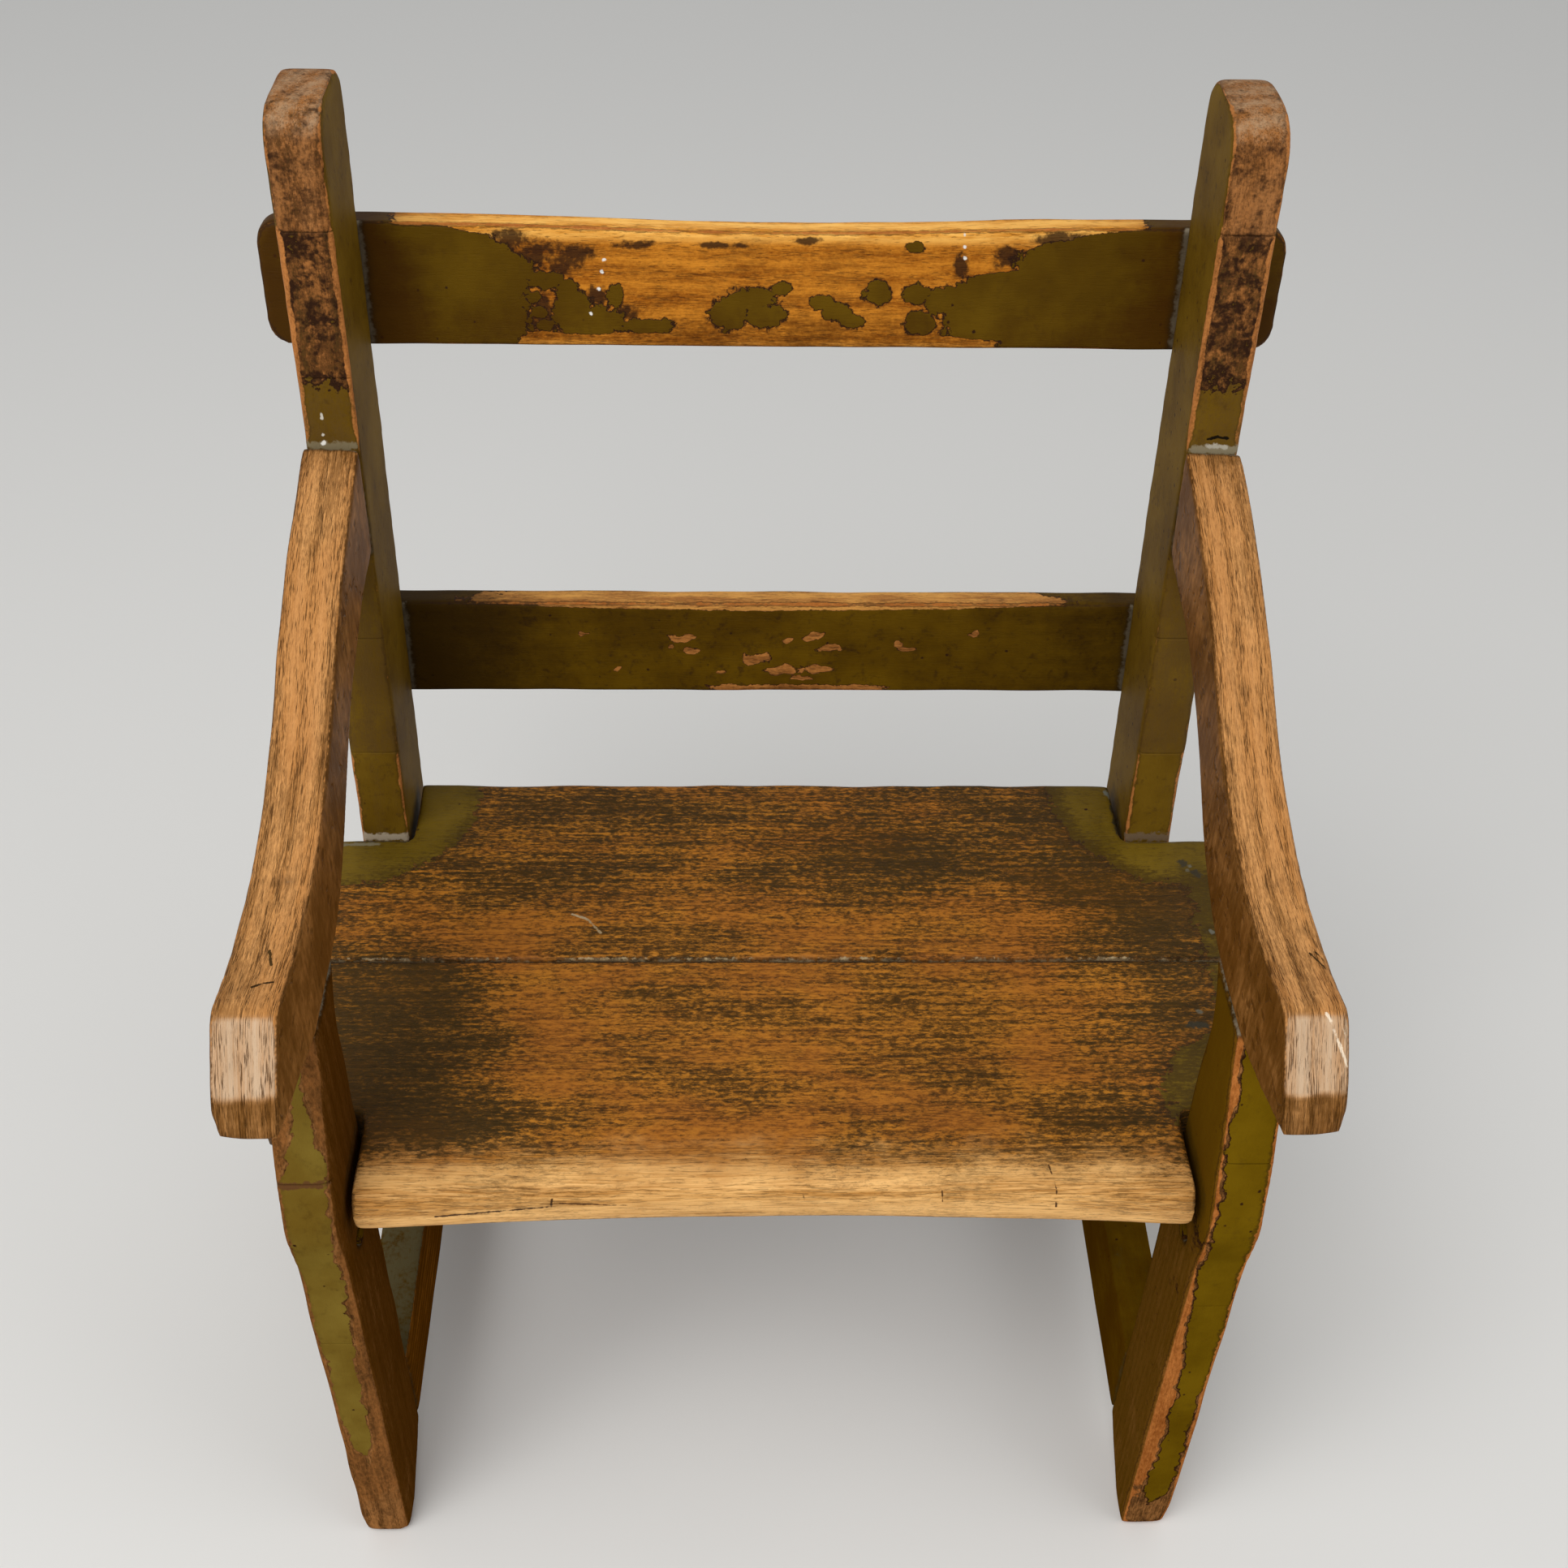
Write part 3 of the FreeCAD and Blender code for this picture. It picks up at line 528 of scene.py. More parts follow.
# top back rail: paint at both ends, islands in the middle, top worn down
topRail = {
    "voxel": 0.0010, "soften": 3, "rub": 1.0, "dip": 0.0003, "seed": 3,
    "topWear": 0.0030, "topWidth": 0.085, "wornFrom": (0.474, 0.486),
    "paintFade": 0.013, "bareMiddle": (0.132, 0.156), "topBand": (0.4775, 0.4825),
    "bareEdge": (0.4425, 0.0025), "edgeHalf": (0.080, 0.110), "edgePale": (0.4405, 0.003),
    "soilLeft": (0.118, 0.155), "soilRight": (0.122, 0.156), "soilLow": (0.460, 0.014),
    "leftPaint": ((0.4432, -0.0967), (0.4625, -0.0936), (0.4703, -0.0937), (0.4815, -0.1094),
                  (0.4860, -0.1350)),        # height, then where the paint ends
    "rightPaint": ((0.4430, 0.0667), (0.4615, 0.0667), (0.4670, 0.0770), (0.4690, 0.0935), (0.4775, 0.0950),
                   (0.4800, 0.1080), (0.4830, 0.1200), (0.4860, 0.1450)),
    "islands": [
        ((-0.0785, 0.4509), (0.0075, 0.0100)), ((-0.0692, 0.4466), (0.0105, 0.0064)),
        ((-0.0618, 0.4579), (0.0032, 0.0048)), ((-0.0797, 0.4603), (0.0044, 0.0036)),
        ((-0.0495, 0.4455), (0.0105, 0.0030)), ((-0.0882, 0.4636), (0.0066, 0.0036)),
        ((-0.0913, 0.4508), (0.0032, 0.0022)), ((-0.0896, 0.4453), (0.0028, 0.0022)),
        ((-0.0924, 0.4572), (0.0026, 0.0020)), ((-0.0180, 0.4502), (0.0070, 0.0072)),
        ((-0.0038, 0.4497), (0.0076, 0.0050)), ((-0.0091, 0.4567), (0.0090, 0.0046)),
        ((0.0025, 0.4613), (0.0038, 0.0024)), ((0.0183, 0.4556), (0.0046, 0.0032)),
        ((0.0240, 0.4518), (0.0056, 0.0036)), ((0.0304, 0.4480), (0.0050, 0.0028)),
        ((0.0396, 0.4591), (0.0048, 0.0050)), ((0.0553, 0.4593), (0.0053, 0.0043)),
        ((0.0634, 0.4561), (0.0056, 0.0050)), ((0.0572, 0.4477), (0.0070, 0.0043)),
        ((0.0536, 0.4780), (0.0032, 0.0021))],
    "stains": [
        ((-0.1010, 0.4784), (0.0150, 0.0070)), ((-0.0910, 0.4745), (0.0200, 0.0085)),
        ((-0.0820, 0.4705), (0.0140, 0.0080)), ((-0.0755, 0.4750), (0.0110, 0.0055)),
        ((-0.0900, 0.4520), (0.0090, 0.0120)), ((-0.0690, 0.4580), (0.0075, 0.0065)),
        ((-0.0575, 0.4505), (0.0070, 0.0050)), ((0.0890, 0.4742), (0.0100, 0.0072)),
        ((0.1107, 0.4815), (0.0170, 0.0045)), ((0.0712, 0.4703), (0.0050, 0.0080)),
        ((-0.0580, 0.4842), (0.0150, 0.0014)), ((-0.0540, 0.4780), (0.0140, 0.0030)),
        ((-0.0200, 0.4780), (0.0160, 0.0022)), ((0.0128, 0.4800), (0.0080, 0.0026))],
    "drips": [
        (-0.0655, 0.1473, 0.4720), (-0.0663, 0.1468, 0.4672), (-0.0678, 0.1462, 0.4604),
        (-0.0714, 0.1452, 0.4502), (0.0721, 0.1483, 0.4829), (0.0725, 0.1478, 0.4781),
        (0.0728, 0.1474, 0.4739)],
}


def shapeTopRail(made):
    share = np.exp(-(made[:, 0] / topRail["topWidth"]) ** 2)
    made[:, 2] -= topRail["topWear"] * share * easeRange(made[:, 2], *topRail["wornFrom"])
    return made


def fieldsTopRail(p, n, marks):
    x, z = p[:, 0], p[:, 2]
    front = easeRange(-n[:, 1], 0.55, 0.85)
    back = easeRange(n[:, 1], 0.5, 0.8)
    left = (alongTable(z, topRail["leftPaint"]) - x) / topRail["paintFade"]
    right = (x - alongTable(z, topRail["rightPaint"])) / topRail["paintFade"]
    field = np.maximum(np.clip(left, -1.2, 1.2), np.clip(right, -1.2, 1.2))
    for centre, radius in topRail["islands"]:
        field = np.maximum(field, 1.1 * spot(x, z, centre, radius))
    middle = 1.0 - easeRange(np.abs(x + 0.002), *topRail["bareMiddle"])
    field -= 1.5 * below(z, *topRail["bareEdge"]) * (1.0 - easeRange(np.abs(x), *topRail["edgeHalf"]))
    field = field * front + 0.9 * back + (0.9 - 1.9 * middle) * (1.0 - np.clip(front + back, 0.0, 1.0))
    stain = np.zeros(len(x))
    for centre, radius in topRail["stains"]:
        stain = np.maximum(stain, np.clip(1.1 * spot(x, z, centre, radius), 0.0, 0.8))
    soil = 0.95 * easeRange(-x, *topRail["soilLeft"]) + 0.70 * easeRange(x, *topRail["soilRight"])
    soil += 0.40 * below(z, *topRail["soilLow"])
    # the top band is painted pale: worn wood with a painted highlight on it
    top = easeRange(z, *topRail["topBand"])
    polish = top + 0.35 * below(z, *topRail["edgePale"])
    return {"paint": field, "stain": stain * front, "soil": soil * (1.0 - 0.9 * top * middle),
            "polish": np.clip(polish * middle, 0.0, 1.0) * (1.0 - back),
            "edge": marks["edge"] * (0.7 + 0.3 * middle)}


railLook = dict(
    oldOak, ring=45.0, shift=(0.0, -0.10, -0.43), pull=(1.8, 1.0, 1.0), streaks=0.25, pores=0.45, ragged=1.5,
    light=tint(210, 134, 40), dark=tint(144, 78, 12), pale=tint(255, 194, 98), dash=0.35,
    soilTint=tint(64, 34, 3), shine=0.06, marks=[(at, at, 0.0009, (235, 232, 225)) for at in topRail["drips"]])
topRail["shape"] = shapeTopRail
wornPiece("top_back_rail", topRail, woodFinish("railPaint", railLook), fieldsTopRail)


# lower back rail: painted all over, chipped in the middle
lowRail = {
    "voxel": 0.0011, "soften": 3, "rub": 0.9, "dip": 0.0003, "seed": 9,
    "wornTop": 0.3150, "wornBow": 0.0034, "wornReach": 0.135, "wornFade": 0.0022, "wornHalf": (0.138, 0.153),
    "bareEdge": (0.2795, 0.0030), "edgeCentre": (0.012, 0.277), "edgeReach": (0.050, 0.1),
    "soilLeft": (0.07, 0.15), "soilRight": (0.10, 0.155), "cleanHalf": (0.090, 0.150),
    "chips": [
        ((-0.0388, 0.3018), (0.0072, 0.0022)), ((-0.0345, 0.2952), (0.0042, 0.0018)),
        ((-0.0425, 0.2975), (0.0020, 0.0016)), ((-0.0055, 0.2918), (0.0062, 0.0036)),
        ((0.0079, 0.3011), (0.0032, 0.0020)), ((0.0185, 0.3030), (0.0050, 0.0022)),
        ((0.0258, 0.2966), (0.0058, 0.0018)), ((0.0233, 0.2860), (0.0062, 0.0024)),
        ((0.0064, 0.2855), (0.0080, 0.0022)), ((0.0135, 0.2812), (0.0066, 0.0014)),
        ((0.0608, 0.2967), (0.0046, 0.0018)), ((0.0570, 0.2995), (0.0022, 0.0014)),
        ((0.0888, 0.3043), (0.0026, 0.0016)), ((-0.0669, 0.2857), (0.0024, 0.0010)),
        ((-0.0800, 0.3040), (0.0014, 0.0012)), ((-0.0205, 0.2850), (0.0030, 0.0012))],
}


def fieldsLowRail(p, n, marks):
    x, z = p[:, 0], p[:, 2]
    front = easeRange(-n[:, 1], 0.5, 0.8)
    field = 0.75 + np.zeros(len(x))
    u = x + 0.0030 * noiseOf(p, 160.0, lowRail["seed"])        # bent places make the chips irregular
    v = z + 0.0022 * noiseOf(p, 210.0, lowRail["seed"] + 4)
    for centre, radius in lowRail["chips"]:
        field -= 1.8 * np.clip(spot(u, v, centre, radius) + 0.40, 0.0, 1.0) * front
    lowEdge = np.clip(spot(x, z, lowRail["edgeCentre"], lowRail["edgeReach"]) * 3.0, 0.0, 1.0)
    field -= 1.4 * below(z, *lowRail["bareEdge"]) * front * lowEdge
    bow = lowRail["wornTop"] + lowRail["wornBow"] * (x / lowRail["wornReach"]) ** 2        # runs out at the posts
    worn = easeRange(z, bow, bow + lowRail["wornFade"]) * (1.0 - easeRange(np.abs(x), *lowRail["wornHalf"]))
    worn = worn * (1.0 - easeRange(n[:, 1], 0.5, 0.8))
    soil = 0.28 + 0.65 * easeRange(-x, *lowRail["soilLeft"]) + 0.35 * easeRange(x, *lowRail["soilRight"])
    clean = worn * (1.0 - 0.5 * easeRange(np.abs(x), *lowRail["cleanHalf"]))
    return {"paint": field - 1.7 * worn, "soil": soil * (1.0 - 0.75 * clean), "polish": 0.45 * clean,
            "edge": marks["edge"] * (0.65 + 0.2 * worn)}


lowRailLook = dict(
    railLook, ragged=2.1, mottled=0.6, light=tint(190, 126, 62), dark=tint(140, 86, 38),
    soilTint=tint(44, 28, 5), marks=())
wornPiece("lower_back_rail", lowRail, woodFinish("lowRailPaint", lowRailLook), fieldsLowRail)


# back posts: bare heads, worn chamfers below a scribed line, olive sides
backPost = {
    "voxel": 0.0013, "soften": 3, "rub": 1.0, "dip": 0.0003, "seed": 5,
    "head": (0.5030, 0.5060), "middle": (0.405, 0.450), "base": (0.2775, 0.2800), "footWorn": (0.024, 0.014),
    "crown": (0.50, 0.52), "armFrom": (0.398, 0.406), "armTo": (0.436, 0.456), "chamfer": (0.415, 0.430),
    "left": ((0.5040, 0.0006, 0.0007), (0.4490, 0.0005, 0.0004), (0.3360, 0.0005, 0.0004),
             (0.2790, 0.0005, 0.0004)),        # the scribed lines of each post
    "right": ((0.5062, 0.0009, 0.0012), (0.4510, 0.0005, 0.0004), (0.3372, 0.0005, 0.0005),
              (0.2790, 0.0005, 0.0004)),
    "marks": [
        ((-0.1775, 0.0765, 0.2340), (-0.1580, 0.0765, 0.2340), 0.0028, (170, 154, 130)),
        ((0.1585, 0.0765, 0.2342), (0.1770, 0.0765, 0.2342), 0.0030, (112, 92, 68)),
        ((0.1650, 0.0950, 0.4266), (0.1684, 0.0951, 0.4276), 0.0008, (22, 16, 8)),
        ((0.1684, 0.0951, 0.4276), (0.1725, 0.0950, 0.4270), 0.0008, (22, 16, 8)),
        ((0.1600, 0.0943, 0.4222), (0.1775, 0.0943, 0.4222), 0.0026, (136, 124, 98)),
        ((-0.1775, 0.0942, 0.4216), (-0.1600, 0.0942, 0.4216), 0.0024, (124, 110, 82)),
        # near-white short lines and dots by the arm joints: dust with painted glints on it
        ((0.1652, 0.0945, 0.4238), (0.1722, 0.0945, 0.4236), 0.0013, (176, 168, 150)),
        ((-0.1699, 0.0957, 0.4348), (-0.1700, 0.0956, 0.4330), 0.0007, (196, 190, 176)),
        ((-0.1703, 0.0949, 0.4262), (-0.1703, 0.0949, 0.4262), 0.0008, (200, 194, 180)),
        ((-0.1706, 0.0944, 0.4226), (-0.1706, 0.0944, 0.4226), 0.0012, (236, 232, 222))],
}


def fieldsPost(p, n, marks):
    z = p[:, 2]
    front = easeRange(-n[:, 1], 0.45, 0.75)
    head = easeRange(z, *backPost["head"])
    middle = easeRange(z, *backPost["middle"]) * (1.0 - head)
    low = 1.0 - head - middle
    base = 1.0 - easeRange(z, *backPost["base"])        # below the lowest scribed line the paint is cleaner
    foot = below(z, *backPost["footWorn"])
    crown = easeRange(n[:, 2], 0.35, 0.7) * easeRange(z, *backPost["crown"])
    nearArm = easeRange(z, *backPost["armFrom"]) * (1.0 - easeRange(z, *backPost["armTo"])) * front
    field = (-1.0 * head - 0.22 * middle + 0.53 * low) * front + 0.45 * nearArm * (1.0 - low)
    field += 0.85 * (1.0 - front) - 1.8 * crown - 1.6 * foot
    stain = (0.52 * middle + 0.32 * head + 0.10 * low) * front * (1.0 - crown) + 0.26 * crown
    soil = (0.22 * middle + 0.62 * low * (1.0 - 0.8 * base)) * front + 0.06
    chamfer = easeRange(z, *backPost["chamfer"]) * (1.0 - head)
    # the crown is painted pale: worn end grain with a painted highlight on it
    return {"paint": field, "stain": stain, "soil": soil,
            "polish": np.clip(0.60 * crown + 0.08 * head + 0.30 * low * front, 0.0, 1.0),
            "crevice": marks["crevice"] * (1.0 - 0.7 * nearArm),
            "edge": marks["edge"] * (0.76 + 0.50 * chamfer - 0.10 * low + 0.25 * base)}


# the pale colour on the crowns is worn end grain, partly a painted highlight
postLook = dict(
    oldOak, turn=alongZ, shift=(0.0, 0.06, 0.21), pull=(1.0, 1.0, 2.6), ring=30.0, dash=0.5, pores=0.45,
    streaks=0.6, light=tint(164, 106, 54), dark=tint(100, 60, 26), pale=tint(170, 142, 110),
    soilTint=tint(92, 68, 30), soilGrain=0.6, shine=0.04, paintRough=0.5, mottled=0.45,
    paint=tint(114, 86, 20), paintShade=tint(92, 66, 10), arrisLine=0.3,
    edgeLight=tint(186, 120, 62), edgeDark=tint(140, 86, 42), marks=backPost["marks"])
postFinish = woodFinish("postPaint", postLook)
for side in ("left", "right"):
    wornPiece("back_post_" + side, dict(backPost, scribed=backPost[side]), postFinish, fieldsPost)


# front legs: olive with orange arrises, brown inside, bare at the foot
frontLeg = {
    "voxel": 0.0013, "soften": 3, "rub": 1.0, "dip": 0.0003, "seed": 7, "tenonTop": 0.345,
    "innerFace": 0.157, "outerFace": 0.178, "paintFade": 0.0040,
    "roundFoot": 0.5, "roundLeft": 0.9, "roundRight": 0.5, "footRound": (0.016, 0.012),
    "innerRound": (0.1650, 0.006), "frontRound": (0.104, 0.112), "roundTop": (0.300, 0.03),
    "footBare": (0.060, 0.055), "upper": (0.200, 0.240),
    "scribed": {"left": ((0.2525, 0.0010, 0.0008), (0.1530, 0.0005, 0.0003)),
                "right": ((0.2595, 0.0005, 0.0006), (0.1750, 0.0005, 0.0003))},
    "bare": {        # height, then the bare width along the inner and the outer arris of the front
        "left": ((0.040, 0.0140, 0.0110), (0.066, 0.0110, 0.0095), (0.073, 0.0090, 0.0052),
                 (0.100, 0.0076, 0.0023), (0.136, 0.0073, 0.0036), (0.172, 0.0059, 0.0017),
                 (0.208, 0.0046, 0.0017), (0.241, 0.0038, 0.0017), (0.2545, 0.0030, 0.0030),
                 (0.265, 0.0024, 0.0048), (0.270, 0.0058, 0.0080), (0.290, 0.0065, 0.0095)),
        "right": ((0.008, 0.0120, 0.0110), (0.020, 0.0090, 0.0095), (0.031, 0.0065, 0.0044),
                  (0.054, 0.0075, 0.0028), (0.0995, 0.0087, 0.0029), (0.145, 0.0066, 0.0019),
                  (0.167, 0.0054, 0.0012), (0.201, 0.0030, 0.0008), (0.246, 0.0028, 0.0008),
                  (0.2915, 0.0040, 0.0008))},
}


def shapeLeg(made):
    made[:, 2] = np.minimum(made[:, 2], frontLeg["tenonTop"])        # the arm's copy closes over the tenon
    return made


def roundLeg(p):
    foot = frontLeg["roundFoot"] * below(p[:, 2], *frontLeg["footRound"])
    inner = below(np.abs(p[:, 0]), *frontLeg["innerRound"]) * easeRange(-p[:, 1], *frontLeg["frontRound"])
    share = np.where(p[:, 0] < 0.0, frontLeg["roundLeft"], frontLeg["roundRight"])
    return np.maximum(foot, inner * below(p[:, 2], *frontLeg["roundTop"]) * share)


def fieldsLeg(p, n, marks):
    x, z = p[:, 0], p[:, 2]
    inside = easeRange(-n[:, 0] * np.sign(x), 0.5, 0.8)
    front = easeRange(-n[:, 1], 0.45, 0.75)
    rightSide = easeRange(x, 0.0, 0.01)
    foot = below(z, *frontLeg["footBare"])
    heights, inner, outer = zip(*frontLeg["bare"]["right" if x[0] > 0.0 else "left"])
    ragged = 0.0020 * noiseOf(p, 70.0, frontLeg["seed"]) + 0.0014 * noiseOf(p, 230.0, frontLeg["seed"])
    clear = np.minimum(np.abs(x) - frontLeg["innerFace"] - np.interp(z, heights, inner),
                       frontLeg["outerFace"] - np.abs(x) - np.interp(z, heights, outer))
    clear = np.clip((clear + ragged) / frontLeg["paintFade"], -1.0, 1.0)
    above = easeRange(z, *frontLeg["upper"])
    field = 0.75 * (1.0 - inside) + (-0.9 + (0.5 + 0.9 * above) * rightSide) * inside
    field -= 1.5 * foot * (1.0 - front)
    field = field * (1.0 - front) + np.minimum(0.75, clear) * front
    bare = easeRange(-clear, 0.0, 0.5) * front * (1.0 - 0.7 * foot)
    return {"paint": field, "soil": 0.95 * inside, "stain": 0.20 * foot * front,
            "edge": np.maximum(marks["edge"] * 0.90, 0.95 * bare)}


legLook = dict(
    oldOak, turn=alongZ, shift=(0.0, -0.11, 0.15), arris=0.36, arrisRagged=1.0, dash=0.5, mottled=0.2,
    soilTint=tint(74, 42, 2), light=tint(160, 108, 60), dark=tint(104, 68, 34), shine=0.0,
    woodRough=0.6, paintRough=0.55)
leftLeg = dict(
    legLook, paint=tint(124, 102, 40), paintShade=tint(104, 80, 26), rim=0.4, arrisLine=0.15,
    edgeLight=tint(146, 94, 48), edgeDark=tint(84, 54, 26),
    marks=[((-0.1775, -0.1212, 0.2522), (-0.1590, -0.1209, 0.2530), 0.0021, (96, 64, 36))])
rightLeg = dict(
    legLook, soilTint=tint(90, 60, 8), soilGrain=0.1, paint=tint(110, 84, 10), paintShade=tint(90, 66, 5),
    arrisLine=0.5, edgeLight=tint(190, 118, 58), edgeDark=tint(134, 74, 28),
    marks=[((0.1772, -0.1252, 0.2366), (0.1772, -0.1266, 0.2235), 0.0007, (40, 26, 10))])
frontLeg.update(shape=shapeLeg, rounded=roundLeg)
for side, look in (("left", leftLeg), ("right", rightLeg)):
    wornPiece("front_leg_" + side, dict(frontLeg, scribed=frontLeg["scribed"][side]),
              woodFinish("legPaint_" + side, look), fieldsLeg)


# arms: bare on top, pale on the nose where worn wood carries a painted highlight, brown on the sides
arm = {
    "voxel": 0.0013, "soften": 3, "rub": 1.0, "dip": 0.0003, "seed": 11, "plugAbove": 0.3145,
    "plugSwell": 0.0008, "noseCrease": 0.3420, "creaseFade": (-0.0010, 0.0018), "noseFrom": (0.120, 0.132),
    "noseRound": 0.3, "cornerRound": 0.6, "noseEnd": (0.148, 0.156), "noseLow": (0.338, 0.006),
    "cornerWide": 0.012, "cornerNear": 0.003, "agedFrom": (0.060, 0.090), "agedTo": (-0.128, -0.112),
    "patchCentre": (0.1740, -0.0960), "patchReach": (0.0060, 0.0090),
    "rearEnd": (0.074, 0.091), "rearDust": (0.0885, 0.0935),
    "marks": [
        ((-0.1679, -0.1228, 0.3598), (-0.1646, -0.1208, 0.3595), 0.0007, (58, 38, 14)),
        ((-0.1646, -0.1208, 0.3595), (-0.1618, -0.1204, 0.3594), 0.0006, (58, 38, 14)),
        ((-0.1659, -0.1049, 0.3574), (-0.1640, -0.1120, 0.3582), 0.0006, (72, 50, 20)),
        ((0.1708, -0.1360, 0.3614), (0.1785, -0.1490, 0.3470), 0.0007, (236, 214, 186)),
        ((0.1750, -0.1385, 0.3600), (0.1788, -0.1450, 0.3520), 0.0005, (230, 206, 176)),
        ((0.1747, -0.1064, 0.3576), (0.1786, -0.1140, 0.3584), 0.0006, (60, 42, 18)),
        ((0.1728, -0.1070, 0.3576), (0.1770, -0.1160, 0.3586), 0.0005, (66, 46, 20))],
}


def roundNose(p):
    end = easeRange(-p[:, 1], *arm["noseEnd"]) * below(p[:, 2], *arm["noseLow"])
    across = np.abs(p[:, 0])
    outer = easeRange(across, across.max() - arm["cornerWide"], across.max() - arm["cornerNear"])
    return end * (arm["noseRound"] + arm["cornerRound"] * outer)        # the outer corner has been knocked round


def fieldsArm(p, n, marks):
    x, y, z = p[:, 0], p[:, 1], p[:, 2]
    top = easeRange(n[:, 2], 0.15, 0.5)
    flank = easeRange(np.abs(n[:, 0]), 0.6, 0.85)
    nose = easeRange(-n[:, 1], 0.35, 0.6) * easeRange(-y, *arm["noseFrom"])
    crease = arm["noseCrease"] + 0.0012 * noiseOf(p, 160.0, arm["seed"])
    noseEnd = nose * easeRange(crease - z, *arm["creaseFade"])
    under = easeRange(-n[:, 2], 0.4, 0.7)
    aged = top * easeRange(-y, *arm["agedFrom"]) * easeRange(y, *arm["agedTo"])
    patch = np.clip(1.4 * spot(x, y, arm["patchCentre"], arm["patchReach"]), 0.0, 1.0) * top
    rearEnd = easeRange(y, *arm["rearEnd"]) * top
    crevice = marks["crevice"] * (1.0 - aged) * (1.0 - 0.75 * flank) + 0.52 * patch
    crevice = np.maximum(crevice, 0.80 * easeRange(y, *arm["rearDust"]) * top)
    # the nose is painted pale: worn wood with a painted highlight on it
    return {"paint": -1.1 + 0.55 * flank + 0.9 * under,
            "soil": 0.80 * flank + 0.62 * noseEnd + 0.16 * aged + 0.42 * rearEnd,
            "polish": np.clip(0.10 * top + 0.95 * (nose - noseEnd), 0.0, 1.0), "crevice": crevice}


# the pale nose colours are worn wood with a painted highlight
armLook = dict(
    oldOak, turn=alongY, pull=(2.0, 1.1, 0.10), shift=(0.0, 0.16, 0.0), ring=20.0, dash=0.55, streaks=0.45,
    pores=0.85, light=tint(212, 150, 84), dark=tint(150, 98, 44), pale=tint(200, 170, 138),
    paleDark=tint(188, 144, 102), soilTint=tint(84, 50, 6), poreTint=tint(84, 52, 22),
    streakTint=tint(96, 62, 26), warm=0.4, warmTint=tint(186, 120, 56), arris=0.05, arrisLine=0.2,
    edgeLight=tint(206, 142, 76), edgeDark=tint(170, 112, 56), bump=0.8, shine=0.05, marks=arm["marks"])
armFinish = woodFinish("armOak", armLook)
arm.update(rounded=roundNose, covers=("tenon_wedges",))
for side, hand in (("left", -1), ("right", 1)):
    wornPiece("arm_" + side, dict(arm, plugs=("front_leg_" + side, "tenon_wedges"), hand=hand),
              armFinish, fieldsArm)


